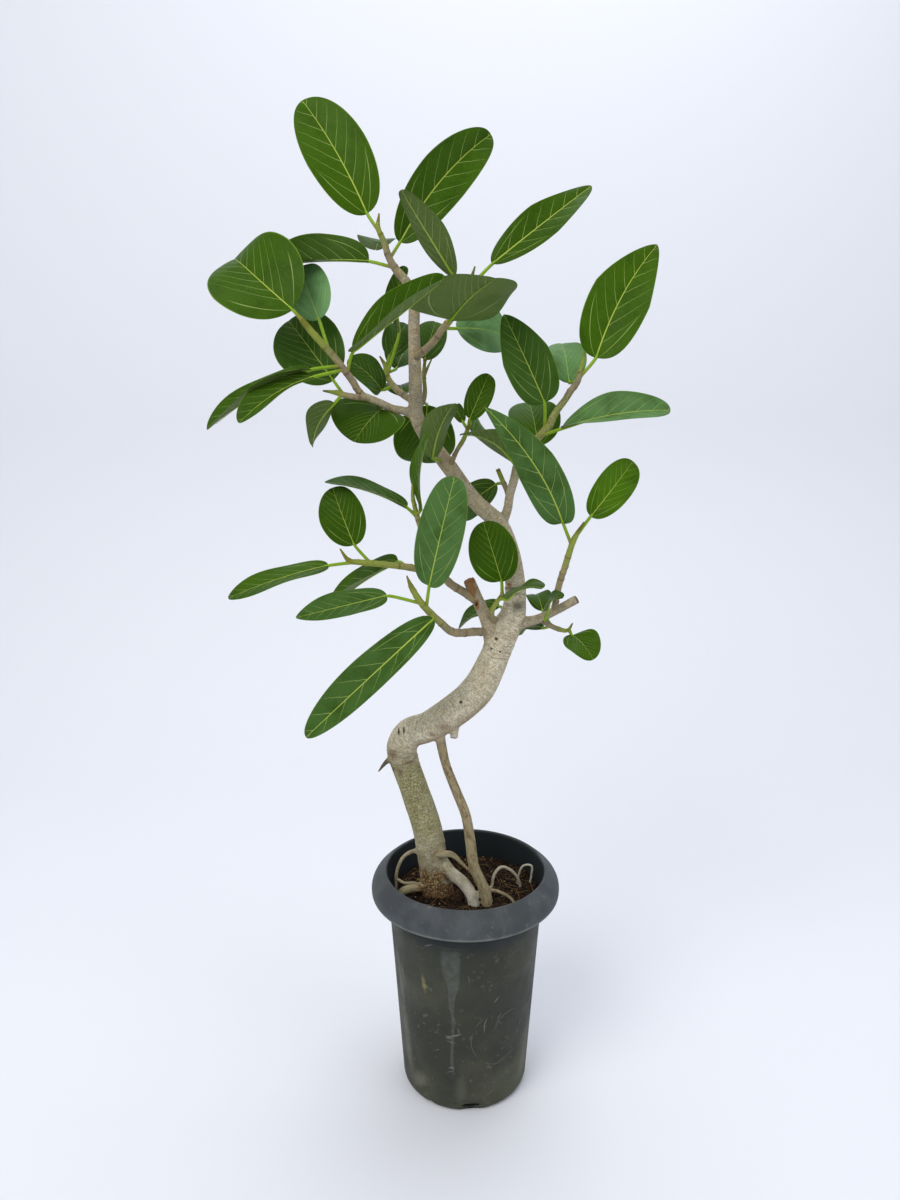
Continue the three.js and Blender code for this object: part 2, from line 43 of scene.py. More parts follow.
print("frame loaded:", len(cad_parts), "nodes")


# Nodes, colours and materials

# A web colour as the linear colour that a socket takes
def colour(hexText):
    parts = [int(hexText[i:i + 2], 16) / 255 for i in (0, 2, 4)]
    linear = [p / 12.92 if p <= 0.04045 else ((p + 0.055) / 1.055) ** 2.4 for p in parts]
    return (*linear, 1.0)


def palette(**tones):
    return {name: colour(hexText) for name, hexText in tones.items()}


def isSocket(value):
    return isinstance(value, bpy.types.NodeSocket)


def plug(value, socket):
    if isSocket(value):
        socket.id_data.links.new(value, socket)
    else:
        socket.default_value = value


def addNode(tree, kind, inputs, **settings):
    node = tree.nodes.new("ShaderNode" + kind)
    for name, value in settings.items():
        setattr(node, name, value)
    for name, value in inputs.items():
        plug(value, node.inputs[name])
    return node


# A node in the tree of the sockets that feed it
def fed(kind, inputs, **settings):
    tree = next(value.id_data for value in inputs.values() if isSocket(value))
    return addNode(tree, kind, inputs, **settings)


def calc(operation, a, b=0.0, c=0.0, clamp=False):
    return fed("Math", {0: a, 1: b, 2: c}, operation=operation, use_clamp=clamp).outputs[0]


def times(first, *others):
    for value in others:
        first = calc("MULTIPLY", first, value)
    return first


# The value times a scale, plus an extra
def scaled(value, scale, extra):
    return calc("MULTIPLY_ADD", value, scale, extra)


def vectorCalc(operation, *values, output=0):
    return fed("VectorMath", dict(enumerate(values)), operation=operation).outputs[output]


def distance(vector):
    return vectorCalc("LENGTH", vector, output="Value")


def axesOf(vector):
    return fed("SeparateXYZ", {0: vector}).outputs


def mix(factor, a, b):
    return fed("Mix", {0: factor, 6: a, 7: b}, data_type="RGBA").outputs[2]


# Layers of colour over a base: the mask, a tone's name or a colour, and the strength
def layered(base, look, layers):
    for mask, tone, strength in layers:
        if strength != 1:
            mask = times(mask, strength)
        base = mix(mask, base, look[tone] if isinstance(tone, str) else tone)
    return base


# A smooth change from one value to the other between low and high
def steps(value, low, high, toLow=0.0, toHigh=1.0):
    return fed("MapRange", {0: value, 1: low, 2: high, 3: toLow, 4: toHigh},
               interpolation_type="SMOOTHSTEP").outputs[0]


def cloud(vector, scale, detail=3.0, roughness=0.55):
    return fed("TexNoise", {"Vector": vector, "Scale": scale, "Detail": detail,
                            "Roughness": roughness}).outputs[0]


def cells(vector, scale, feature="F1", output="Distance"):
    return fed("TexVoronoi", {"Vector": vector, "Scale": scale}, feature=feature).outputs[output]


# A random value for each cell
def cellTone(vector, scale):
    return fed("SeparateColor", {0: cells(vector, scale, "F1", "Color")}).outputs[0]


def stretched(vector, scale):
    return fed("Mapping", {"Vector": vector, "Scale": scale}).outputs[0]


def attribute(tree, name, output="Fac"):
    node = addNode(tree, "Attribute", {}, attribute_name=name, attribute_type="GEOMETRY")
    return node.outputs[output]


def objectPlace(tree):
    return addNode(tree, "TexCoord", {}).outputs["Object"]


# A node group with vector and number inputs, and number outputs
def newGroup(name, vectors, numbers, outputs):
    tree = bpy.data.node_groups.new(name, "ShaderNodeTree")
    for socket in vectors:
        tree.interface.new_socket(socket, in_out="INPUT", socket_type="NodeSocketVector")
    for socket in numbers:
        tree.interface.new_socket(socket, in_out="INPUT", socket_type="NodeSocketFloat")
    for socket in outputs:
        tree.interface.new_socket(socket, in_out="OUTPUT", socket_type="NodeSocketFloat")
    return tree, tree.nodes.new("NodeGroupInput").outputs, tree.nodes.new("NodeGroupOutput").inputs


def useGroup(group, **inputs):
    return fed("Group", inputs, node_tree=group).outputs


def newMaterial(name):
    material = bpy.data.materials.new(name)
    material.use_nodes = True
    return material, material.node_tree


def finishMaterial(material, base, roughness, height=None, bump=0.3, reach=0.001, shine=0.2):
    shader = material.node_tree.nodes["Principled BSDF"]
    shader.inputs["Specular IOR Level"].default_value = shine
    plug(base, shader.inputs["Base Color"])
    plug(roughness, shader.inputs["Roughness"])
    if height is not None:
        node = fed("Bump", {"Height": height, "Strength": bump, "Distance": reach})
        plug(node.outputs[0], shader.inputs["Normal"])
    return material


# Camera, light and floor

view = {
    "location": (-0.0173, -0.94, 0.786),
    "pitch": 13.0,
    "focal": 920.0,
    "longSide": 1200.0,
    "sensor": 36.0,
}


def setCamera():
    data = bpy.data.cameras.new("camera")
    data.sensor_width = view["sensor"]
    data.lens = view["focal"] / view["longSide"] * view["sensor"]
    camera = bpy.data.objects.new("camera", data)
    camera.location = view["location"]
    camera.rotation_euler = (math.radians(90 - view["pitch"]), 0, 0)
    scene.collection.objects.link(camera)
    scene.camera = camera


studio = {
    "sky": (0.88, 0.92, 1.0), "skyStrength": 0.6,
    "lamps": {
        "keyLamp": {"at": (-1.3, -1.7, 2.6), "size": 1.8, "power": 44, "tint": (1, 0.98, 0.94)},
        "fillLamp": {"at": (1.9, -1.2, 1.3), "size": 1.6, "power": 9, "tint": (0.94, 0.97, 1)},
        "topLamp": {"at": (0.3, 0.7, 2.7), "size": 1.8, "power": 22, "tint": (0.95, 0.98, 1)},
    },
    "aim": (0, 0, 0.62),
    "floorTone": "e4e5ea", "floorHalf": 3.2, "wallAt": 1.5, "wallHigh": 3.4, "curve": 0.7, "rows": 12,
}


def setLight():
    world = bpy.data.worlds.new("sky")
    world.use_nodes = True
    background = world.node_tree.nodes["Background"]
    background.inputs["Color"].default_value = (*studio["sky"], 1)
    background.inputs["Strength"].default_value = studio["skyStrength"]
    scene.world = world
    for name, lamp in studio["lamps"].items():
        data = bpy.data.lights.new(name, "AREA")
        data.shape = "DISK"
        data.size = lamp["size"]
        data.energy = lamp["power"]
        data.color = lamp["tint"]
        light = bpy.data.objects.new(name, data)
        light.location = lamp["at"]
        towards = Vector(studio["aim"]) - light.location
        light.rotation_euler = towards.to_track_quat("-Z", "Y").to_euler()
        scene.collection.objects.link(light)
    scene.view_settings.view_transform = "Standard"


def floorMaterial():
    material, _ = newMaterial("paleFloor")
    return finishMaterial(material, colour(studio["floorTone"]), 0.9)


# One sheet: the floor, which bends up into the wall behind
def makeFloor():
    bm = bmesh.new()
    across, curve = studio["floorHalf"], studio["curve"]
    edge = [bm.verts.new((-across, -across, 0)), bm.verts.new((across, -across, 0))]
    start = studio["wallAt"] - curve
    path = [(start, 0)]
    for i in range(1, studio["rows"] + 1):
        turn = math.radians(90 * i / studio["rows"])
        path.append((start + curve * math.sin(turn), curve * (1 - math.cos(turn))))
    path.append((studio["wallAt"], studio["wallHigh"]))
    edges = [bm.edges.new(edge)]
    for y, z in path:
        made = bmesh.ops.extrude_edge_only(bm, edges=edges)["geom"]
        edges = [part for part in made if isinstance(part, bmesh.types.BMEdge)]
        for vert in {vert for e in edges for vert in e.verts}:
            vert.co.y = y
            vert.co.z = z
    bmesh.ops.recalc_face_normals(bm, faces=bm.faces)
    smoothAll(bm)
    newObject("floor", bm, [floorMaterial()])
    print("floor made")


# Objects

def newObject(name, bm, materials):
    mesh = bpy.data.meshes.new(name)
    bm.to_mesh(mesh)
    bm.free()
    for material in materials:
        mesh.materials.append(material)
    piece = bpy.data.objects.new(name, mesh)
    scene.collection.objects.link(piece)
    return piece


def standIn(piece, node):
    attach(piece, "root")
    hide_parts(node)


def smoothAll(bm):
    for face in bm.faces:
        face.smooth = True


def sizeMatrix(size):
    return Matrix.Diagonal((*size, 1))


def fade(value, low, high):
    share = min(1, max(0, (value - low) / (high - low)))
    return share * share * (3 - 2 * share)


# Spins a section of points (radius, height) in mm round the upright axis
def lathe(bm, section, count):
    points = [bm.verts.new((radius * mm, 0, height * mm)) for radius, height in section]
    for a, b in zip(points, points[1:]):
        bm.edges.new((a, b))
    bmesh.ops.spin(bm, geom=bm.verts[:] + bm.edges[:], cent=(0, 0, 0), axis=(0, 0, 1),
                   angle=2 * math.pi, steps=count, use_merge=True)
    bmesh.ops.remove_doubles(bm, verts=bm.verts, dist=1e-6)
    bmesh.ops.recalc_face_normals(bm, faces=bm.faces)


# Lines: a centripetal curve through stations (x, y, z, radius), in mm

def hermite(values, spans, share):
    a, b, c, d = values
    before, inside, after = spans
    leave = ((b - a) / before - (c - a) / (before + inside) + (c - b) / inside) * inside
    arrive = ((c - b) / inside - (d - b) / (inside + after) + (d - c) / after) * inside
    cube = (b - c) * 2 + leave + arrive
    square = (c - b) * 3 - leave * 2 - arrive
    return b + leave * share + square * share ** 2 + cube * share ** 3


def linePoints(stations, perSpan=10):
    centres = [Vector(s[:3]) for s in stations]
    ends = [centres[0] * 2 - centres[1], *centres, centres[-1] * 2 - centres[-2]]
    points = []
    for i in range(len(centres) - 1):
        four = ends[i:i + 4]
        spans = [max((four[k + 1] - four[k]).length, 1e-3) ** 0.5 for k in range(3)]
        for k in range(perSpan + (i == len(centres) - 2)):
            share = k / perSpan
            radius = stations[i][3] + (stations[i + 1][3] - stations[i][3]) * share
            points.append((hermite(four, spans, share), radius))
    return points


# Evenly spaced places on the line: centre, radius, tangent, normal, distance from its start
def walkLine(stations, step):
    points = linePoints(stations)
    lengths = [0.0]
    for (a, _), (b, _) in zip(points, points[1:]):
        lengths.append(lengths[-1] + (b - a).length)
    count = max(2, round(lengths[-1] / step))
    places = []
    k = 0
    for i in range(count + 1):
        reach = lengths[-1] * i / count
        while k < len(points) - 2 and lengths[k + 1] < reach:
            k += 1
        share = (reach - lengths[k]) / max(lengths[k + 1] - lengths[k], 1e-6)
        centre = points[k][0].lerp(points[k + 1][0], share)
        radius = points[k][1] + (points[k + 1][1] - points[k][1]) * share
        places.append({"centre": centre, "radius": radius, "reach": reach,
                       "share": i / count, "tangent": (points[k + 1][0] - points[k][0]).normalized()})
    normal = places[0]["tangent"].orthogonal().normalized()
    for i, place in enumerate(places):
        low, high = places[max(i - 1, 0)], places[min(i + 1, count)]
        place["tangent"] = (high["centre"] - low["centre"]).normalized()
        normal = (normal - place["tangent"] * normal.dot(place["tangent"])).normalized()
        place["normal"] = normal
    return places


# A closed round stem. It starts as a grid, which is rolled up along the line.
def addStem(bm, stations, sides, step, material=0, swell=None, plan=None):
    places = walkLine(stations, step)
    rows = len(places) - 1
    made = bmesh.ops.create_grid(bm, x_segments=sides, y_segments=rows, size=1)["verts"]
    layer = bm.verts.layers.float_vector.get("plan")
    for vert in made:
        turn = math.pi * vert.co.x
        row = round((vert.co.y + 1) / 2 * rows)
        place = places[row]
        side = Quaternion(place["tangent"], turn) @ place["normal"]
        radius = place["radius"]
        if swell:
            radius += swell(place, turn)
        if layer:
            vert[layer] = plan(place, turn) if plan else (0, place["share"], 0)
        vert.co = (place["centre"] + side * radius) * mm
    bmesh.ops.remove_doubles(bm, verts=made, dist=1e-7)
    made = [vert for vert in made if vert.is_valid]
    rim = [e for e in {e for vert in made for e in vert.link_edges} if e.is_boundary]
    caps = bmesh.ops.holes_fill(bm, edges=rim, sides=0)["faces"]
    faces = {f for vert in made for f in vert.link_faces}
    for face in faces:
        face.material_index = material
        face.smooth = True
    for face in caps:
        face.smooth = False
    bmesh.ops.recalc_face_normals(bm, faces=list(faces))
    return made


# Where the tree's stems run: stations (x, y, z, radius) in mm

trunkLine = [
    (-22, 4, 172, 9), (-26, 2, 198, 15), (-30, 0, 221, 19.5), (-33, 0, 242, 17.5), (-36, 0, 264, 16.4),
    (-43, 0, 309, 16.4), (-56, 2, 353, 15.4), (-66, 4, 382, 15.6), (-70, 4, 403, 16.8),
    (-61, 4, 419, 16.8), (-41, 2, 427, 16.4), (-11, 0, 448, 17.8), (14, 0, 473, 17.6),
    (30, 0, 508, 15.8), (39, 0, 534, 16.6), (48, 0, 551, 13.8), (51, 0, 568, 11.6), (51, 0, 585, 10.8),
    (47, 2, 611, 10.3), (41, 4, 632, 9.8), (33, 6, 649, 9.2), (12, 8, 668, 8.4), (0, 8, 682, 8.2),
    (-16, 8, 704, 8.2), (-42, 8, 739, 7.7), (-51, 8, 758, 7.4), (-52, 8, 791, 7), (-53, 8, 842, 5.9),
    (-53, 7, 870, 5.4), (-58, 6, 884, 4.8), (-70, 4, 898, 4),
]

limbLines = {
    "aerialRoot": [
        (-30, 0, 432, 7), (-28, -1, 416, 5.8), (-22, -4, 387, 5), (-11, -8, 358, 5.2),
        (0, -14, 331, 5.5), (5, -18, 302, 5.8), (9, -22, 274, 6), (20, -26, 249, 6.4),
        (24, -30, 234, 6.4), (27, -33, 206, 5)],
    "paleRoot": [
        (-30, -3, 272, 9), (-17, -10, 260, 7.2), (-3, -18, 252, 6.8), (7, -27, 241, 6.6),
        (9, -33, 228, 6), (9, -37, 206, 4.5)],
    "leftRoot": [
        (-32, -2, 236, 9), (-44, -6, 240, 6), (-60, -9, 240, 5.2), (-72, -12, 236, 4.5),
        (-74, -13, 220, 3.2)],
    "archRoot": [
        (-44, 0, 277, 4), (-56, 0, 281, 2.7), (-68, -2, 276, 2.3), (-76, -3, 261, 2.2),
        (-78, -3, 243, 2.2), (-77, -4, 222, 2)],
    "archFork": [
        (-77, -3, 248, 2.2), (-69, -6, 245, 2), (-57, -8, 246, 2), (-46, -7, 242, 2)],
    "knuckleRoot": [
        (-38, -6, 280, 5), (-26, -13, 284, 4.4), (-15, -14, 284, 3.4), (-3, -16, 273, 2),
        (8, -21, 264, 1.8)],
    "loopRoot": [
        (20, -25, 248, 2.6), (29, -12, 244, 2.2), (32, -8, 256, 2.2), (40, -4, 263, 2.2),
        (51, -2, 258, 2.2), (60, 0, 245, 2), (64, 2, 224, 1.8)],
    "rimLoopRoot": [
        (25, -30, 214, 2.6), (44, -4, 213, 2.2), (58, 9, 226, 1.8), (61, 10, 246, 1.6),
        (66, 10, 257, 1.6), (75, 10, 257, 1.6), (75, 8, 245, 1.6), (70, 6, 222, 1.6)],
    "rightRoot": [
        (20, -26, 246, 3), (30, -22, 245, 2.2), (42, -26, 243, 2), (52, -34, 239, 1.9),
        (58, -40, 222, 1.6)],
    "leftStub": [
        (27, 0, 526, 9), (22, -1, 545, 7), (16, -3, 560, 6.5), (2, -6, 592, 6.2)],
    "rightStub": [
        (47, 0, 541, 8), (62, 0, 545, 5.8), (74, 0, 548, 4.9), (91, -3, 557, 4.7),
        (115, -8, 572, 4.7)],
    "shortStub": [
        (-10, -2, 444, 5), (-12, -6, 428, 4.4), (-13, -8, 418, 4.2)],
    "elbowSpike": [
        (-68, 3, 400, 4), (-86, -2, 389, 2.8), (-96, -4, 377, 1)],
    "leftLimb": [
        (-51, 8, 757, 5), (-63, 6, 763, 4.4), (-74, 4, 765, 4.1), (-87, -2, 771, 4),
        (-98, -7, 776, 3.8), (-107, -10, 780, 3.6)],
    "rightLimb": [
        (33, 6, 646, 7), (38, 6, 653, 5.3), (42, 5, 664, 4.8), (44, 3, 679, 4.6),
        (48, 0, 695, 4.6), (50, -3, 707, 4.5), (53, -6, 719, 4.3), (65, -9, 731, 4.2),
        (80, -13, 749, 4), (88, -15, 764, 3.7), (96, -17, 775, 3.5), (102, -19, 785, 3.3)],
}

# Arch, sway, curl and wave are in mm, twist and fold in degrees. The tone runs from a painted bluish
# sky sheen at -1 to young green at 1, and None leaves it to chance.
leafDefaults = {
    "arch": 6, "sway": 0, "curl": 0, "wave": 1.6, "twist": 0, "fold": 14,
    "point": 0.35, "full": 0.92, "broad": 1, "tone": None,
}


# A leaf: its root's share along the twig, base, tip and width in mm, and the way its face looks
def leaf(on, base, tip, width, face, **changes):
    return dict(leafDefaults, on=on, base=base, tip=tip, width=width, face=face, **changes)


# Each node's twigs with their leaves. A leaf of its own has only the place of its root.
shootLines = {
    "shoot_top": [
        ([(-64, 5, 891, 4.2), (-70, 4, 898, 3.9), (-76, 2, 908, 3.4), (-81, 0, 923, 2.9),
          (-86, -2, 935, 2.4), (-85, -2, 948, 0.7)], [
            leaf(0.18, (-96, 6, 906), (-200, 36, 904), 54, (0, -0.7, 0.7), fold=36, arch=4),
            leaf(0.32, (-66, 12, 924), (23, 50, 1030), 54, (0.3, -1, 0.1), fold=22, sway=-8, tone=0.1),
            leaf(0.55, (-84, 22, 925), (-96, 92, 928), 44, (0, -0.05, 1), fold=8),
            leaf(0.72, (-97, 6, 949), (-160, 34, 1056), 63, (0, -1, 0.25), fold=8, sway=3, tone=0.12),
        ]),
    ],
    "shoot_upper_left": [
        ([(-103, -9, 778, 3.6), (-107, -10, 782, 3.5), (-112, -14, 791, 3.5), (-126, -22, 811, 3.4),
          (-150, -30, 839, 3.3), (-158, -32, 849, 2.8)], [
            leaf(1, (-166, -33, 858), (-235, 25, 916), 95, (0, -0.9, 0.35), curl=8, sway=-2, tone=0.08),
            leaf(0.58, (-144, -12, 850), (-166, 20, 902), 46, (0, -1, 0.2), tone=-1),
            leaf(0.4, (-150, -37, 803), (-241, -78, 748), 40, (-0.1, -0.1, 1), fold=28),
            leaf(0.34, (-147, -45, 796), (-207, -98, 755), 38, (-0.1, -0.5, 1), fold=20),
            leaf(0.3, (-111, -28, 819), (-21, -108, 878), 44, (-0.5, -0.6, 0.6), fold=44, arch=0,
                 tone=0.1),
        ]),
    ],
    "shoot_lower_left": [
        ([(-101, -10, 776, 2.8), (-109, -16, 777, 3), (-121, -19, 779, 3), (-128, -18, 781, 2.6),
          (-141, -22, 783, 0.8)], [
            leaf(0.5, (-133, -2, 793), (-181, 34, 852), 70, (0.1, -1, 0.1)),
            leaf(0.55, (-130, -25, 771), (-149, -52, 732), 34, (-0.3, 0.6, 0.6)),
        ]),
    ],
    "leaf_under_left_limb": [
        ([(-88, -2, 771)], [
            leaf(0, (-86, 8, 765), (-111, -26, 734), 82, (-0.25, -0.9, 0.4), arch=4, tone=0),
        ]),
    ],
    "shoot_back_left": [
        ([(-52, 8, 771, 3.5), (-59, 18, 775, 3.5), (-71, 32, 783, 3.4), (-82, 46, 796, 3.1),
          (-85, 54, 808, 2.6), (-91, 58, 818, 0.8)], [
            leaf(0.82, (-81, 60, 818), (-64, 78, 852), 32, (0, -1, 0.2)),
            leaf(0.75, (-74, 68, 806), (-62, 118, 830), 42, (0, -0.8, 0.6)),
            leaf(0.5, (-88, 34, 783), (-120, 14, 813), 36, (0.2, -0.8, 0.5)),
            leaf(0.4, (-66, 50, 778), (-74, 104, 786), 46, (0, -0.5, 0.9)),
            leaf(0.7, (-70, 50, 842), (-64, 60, 908), 32, (-0.8, -0.6, 0), twist=60),
        ]),
    ],
    "shoot_front_right": [
        ([(-53, 8, 814, 4), (-46, -2, 819, 3.8), (-34, -10, 829, 3.5), (-24, -17, 842, 3.4),
          (-18, -20, 848, 3.3), (-6, -28, 867, 3), (1, -34, 881, 2.4), (6, -36, 896, 0.7)], [
            leaf(0.47, (-17, -25, 849), (23, -86, 880), 102, (0, 0.08, 1), fold=6, arch=4, full=0.6,
                 broad=0.6, point=0),
            leaf(0.42, (-11, -11, 842), (41, 22, 836), 58, (0, -0.9, 0.4), tone=-0.9),
            leaf(0.75, (-13, -42, 886), (-60, -68, 956), 34, (0.6, 0.75, 0.2), sway=5),
            leaf(0.8, (23, -14, 901), (120, 22, 977), 40, (-0.1, -0.9, 0.5), sway=3, point=1.3,
                 tone=0.05),
        ]),
    ],
    "shoot_behind_trunk": [
        ([(-52, 8, 765, 3), (-45, 20, 772, 2.6), (-43, 26, 782, 2.3), (-44, 28, 799, 2),
          (-43, 30, 813, 1.6)], [
            leaf(1, (-43, 32, 814), (-32, 50, 852), 34, (0, -1, 0.2)),
            leaf(0.25, (-41, 40, 768), (-48, 80, 706), 68, (0, -0.85, -0.5)),
        ]),
        ([(-44, 28, 796, 1.8), (-41, 27, 804, 1.5), (-36, 26, 814, 0.7)], []),
    ],
    "leaf_on_crook": [
        ([(-24, 8, 713)], [
            leaf(0, (-35, -16, 718), (-14, -46, 771), 40, (-0.6, 0.7, 0.3)),
        ]),
    ],
    "shoot_crook": [
        ([(-19, 8, 706, 3), (-15, 0, 714, 2.6), (-10, -5, 725, 2.3), (-4, -8, 735, 2.3),
          (-1, -10, 742, 2.2), (2, -13, 750, 1.9)], [
            leaf(1, (2, -16, 756), (21, -4, 799), 27, (0, -1, 0.1)),
            leaf(0.8, (6, 0, 742), (26, 36, 732), 36, (0, -0.7, 0.7)),
            leaf(0.9, (-4, -4, 752), (-14, 14, 766), 14, (-0.3, -0.4, 0.8)),
        ]),
    ],
    "shoot_right_top": [
        ([(97, -17, 777, 3.4), (102, -19, 785, 3.3), (107, -20, 792, 3.1), (109, -21, 802, 2.3),
          (113, -22, 820, 0.7)], [
            leaf(0.45, (124, -20, 814), (184, 8, 921), 60, (-0.1, -1, 0.2), sway=-6, point=1.5,
                 broad=0.86, tone=0.15),
            leaf(0.4, (101, 0, 791), (98, 44, 830), 42, (0, -0.8, 0.6), tone=-0.75),
        ]),
    ],
    "leaf_right_limb_front": [
        ([(77, -12, 745)], [
            leaf(0, (75, -21, 772), (35, -8, 855), 52, (0, -1, 0.1), point=1.5, broad=0.82, fold=24,
                 tone=-0.1),
        ]),
    ],
    "leaf_right_limb_out": [
        ([(72, -11, 739)], [
            leaf(0, (92, -24, 747), (193, -44, 765), 48, (0, -0.6, 0.85), fold=24, twist=40, point=0.6,
                 tone=-0.5),
        ]),
    ],
    "leaf_right_limb_back": [
        ([(65, -9, 731)], [
            leaf(0, (73, 14, 727), (67, 62, 770), 56, (0, -0.75, 0.65)),
        ]),
    ],
    "leaf_right_limb_low": [
        ([(50, -3, 707)], [
            leaf(0, (47, -15, 712), (-6, -48, 742), 38, (0.3, 0.5, 0.8), arch=10),
        ]),
    ],
    "shoot_side_stub": [
        ([(44, 3, 677, 3), (38, 9, 690, 2.6), (32, 14, 704, 2.4)], [
            leaf(0.5, (31, 24, 688), (-8, 60, 650), 36, (0, -0.9, 0.4)),
        ]),
    ],
    "shoot_right": [
        ([(92, -3, 558, 3.4), (93, -10, 575, 3.4), (96, -18, 595, 3.4), (99, -22, 607, 3.3),
          (103, -27, 625, 3.2), (107, -30, 639, 3), (116, -32, 656, 0.8)], [
            leaf(0.74, (94, -40, 656), (15, -72, 768), 44, (-0.1, -1, 0.2), sway=8, twist=40, point=1.6,
                 broad=0.78, fold=24, tone=-0.3),
            leaf(0.8, (123, -28, 661), (166, -10, 714), 38, (0, -1, 0.2), point=0, tone=0.35),
        ]),
    ],
    "shoot_right_low": [
        ([(77, 0, 549, 3.2), (85, -3, 544, 2.9), (96, -5, 539, 2.6), (106, -7, 538, 2.1),
          (111, -8, 546, 0.7)], [
            leaf(0.8, (110, -13, 534), (128, -44, 517), 38, (0, -0.7, 0.7)),
            leaf(0.35, (82, 14, 535), (62, 56, 516), 34, (0, -0.5, 0.9)),
            leaf(0.35, (82, 20, 553), (77, 56, 562), 30, (0, -0.6, 0.8)),
            leaf(0.15, (84, -14, 561), (97, -38, 581), 22, (-0.5, -0.2, 0.8)),
        ]),
    ],
    "shoot_fork": [
        ([(36, 0, 544, 3), (26, -15, 556, 2.8), (28, -21, 567, 2.5), (36, -24, 580, 2.1)], [
            leaf(1, (35, -28, 595), (16, -24, 655), 50, (0, -1, 0.1), tone=0.1),
            leaf(0.9, (41, -31, 577), (71, -84, 600), 30, (-0.1, -0.25, 1)),
        ]),
    ],
    "leaf_fork_back": [
        ([(44, 0, 552)], [
            leaf(0, (36, 28, 556), (-8, 64, 520), 34, (0, -0.5, 0.9)),
        ]),
    ],
    "shoot_left": [
        ([(13, -4, 567, 4.8), (-1, -8, 578, 4.4), (-15, -14, 588, 4.2), (-28, -19, 600, 4.1),
          (-57, -28, 609, 3.6), (-79, -34, 613, 3.2), (-107, -41, 617, 3), (-117, -44, 619, 2.6),
          (-126, -44, 631, 0.7)], [
            leaf(0.78, (-112, -40, 634), (-134, -24, 689), 46, (0, -1, 0.1), tone=0.05),
            leaf(0.86, (-137, -52, 616), (-229, -84, 590), 42, (0, -0.25, 1), fold=8, arch=3),
            leaf(0.55, (-70, -14, 613), (-156, 44, 540), 46, (-0.3, -0.4, 1), fold=24),
        ]),
        ([(-28, -19, 600, 3.6), (-36, -24, 625, 3), (-45, -28, 645, 2.8), (-50, -31, 662, 2.6),
          (-54, -33, 682, 1.9), (-53, -35, 704, 0.7)], [
            leaf(0.6, (-60, -34, 671), (-141, -28, 695), 42, (0, -0.12, 1), arch=5),
            leaf(0.62, (-46, -38, 669), (-37, -58, 744), 34, (-1, -0.25, 0)),
        ]),
    ],
    "shoot_left_low": [
        ([(25, 0, 534, 4.6), (12, -9, 537, 4.4), (-14, -22, 540, 4.2), (-27, -32, 553, 3.8),
          (-44, -42, 573, 3.5), (-55, -48, 592, 2.9), (-60, -50, 605, 0.7)], [
            leaf(0.68, (-38, -46, 594), (-13, -68, 704), 46, (-0.1, -1, 0), point=-0.2, full=0.8,
                 tone=-0.35),
            leaf(0.74, (-80, -54, 586), (-163, -96, 574), 40, (0, -0.6, 1), fold=10, arch=0, point=1.5,
                 tone=-0.2),
            leaf(0.62, (-34, -50, 561), (-155, -112, 460), 45, (0.1, -0.7, 0.8), arch=1, point=0.3,
                 fold=26, tone=-0.2),
        ]),
    ],
}


# Leaves and shoots

# The materials of a shoot, in this order
upperSlot, underSlot, stalkSlot, twigSlot = range(4)

leafCut = {"thickness": 0.8, "across": 22, "along": 44, "crowd": 1.2, "pillow": 0.22,
           "leastHalf": 0.9, "pointing": 0.45, "curlFrom": 0.65, "waves": 8, "waveShift": 2}

veinPlan = {
    "pairs": 7.2, "firstPair": 0.4, "slope": 1.2, "bend": 1.5, "alternate": 0.22,
    "basalReach": 0.4, "basalSide": 0.8, "basalBend": 0.38,
    "ribWidth": (-0.0042, 0.0054), "ribEdge": (0.0016, -0.0012), "rim": (0.965, 0.99), "netScale": 34.0,
    "wobble": (0.012, 0.012, 0),
}


def squared(direction, axis):
    return (direction - axis * direction.dot(axis)).normalized()


# The leaf's axes: its midrib is a quadratic curve from base to tip
def leafFrame(form):
    start, end = Vector(form["base"]), Vector(form["tip"])
    chord = (end - start).normalized()
    up = squared(Vector(form["face"]), chord)
    middle = start.lerp(end, 0.5) + up * 2 * form["arch"] + chord.cross(up) * 2 * form["sway"]
    return {"start": start, "middle": middle, "end": end, "up": up, "length": (end - start).length}


# A place on the blade: across from -1 to 1, row from 0 at the base to 1 at the tip
def bladeAt(form, axes, across, row):
    share = 0.5 - 0.5 * math.cos(math.pi * row)
    start, middle, end = axes["start"], axes["middle"], axes["end"]
    tangent = ((middle - start) * (1 - share) + (end - middle) * share).normalized()
    normal = squared(axes["up"], tangent)
    normal.rotate(Quaternion(tangent, math.radians(form["twist"] * (share - 0.5))))
    side = tangent.cross(normal)
    plump = max(0.0, math.sin(math.pi * row ** form["broad"]))
    plump *= 1 - leafCut["pointing"] * form["point"] * max(0, 2 * row - 1)
    half = max(leafCut["leastHalf"], form["width"] / 2 * plump ** form["full"])
    closed = math.radians(form["fold"])
    lift = half * abs(across) * math.sin(closed)
    waving = leafCut["waves"] * share + leafCut["waveShift"] * across
    ripple = form["wave"] * across ** 2 * math.sin(waving)
    drop = form["curl"] * max(0, (share - leafCut["curlFrom"]) / (1 - leafCut["curlFrom"])) ** 2
    spot = start * (1 - share) ** 2 + middle * 2 * share * (1 - share) + end * share ** 2
    spot += side * (half * across * math.cos(closed)) + normal * (lift + ripple - drop)
    plan = Vector((half * across / axes["length"], share, across))
    return spot, normal, plan


# How far a place on the blade stands between its two nearest side veins, from 0 on one to 1
def pillowAt(plan):
    out = abs(plan.x)
    lean = plan.y - veinPlan["slope"] * out - veinPlan["bend"] * out ** 2
    place = lean * veinPlan["pairs"] + (veinPlan["alternate"] if plan.x > 0 else 0)
    return math.sin(math.pi * (place % 1.0)) if place > 0 else 0


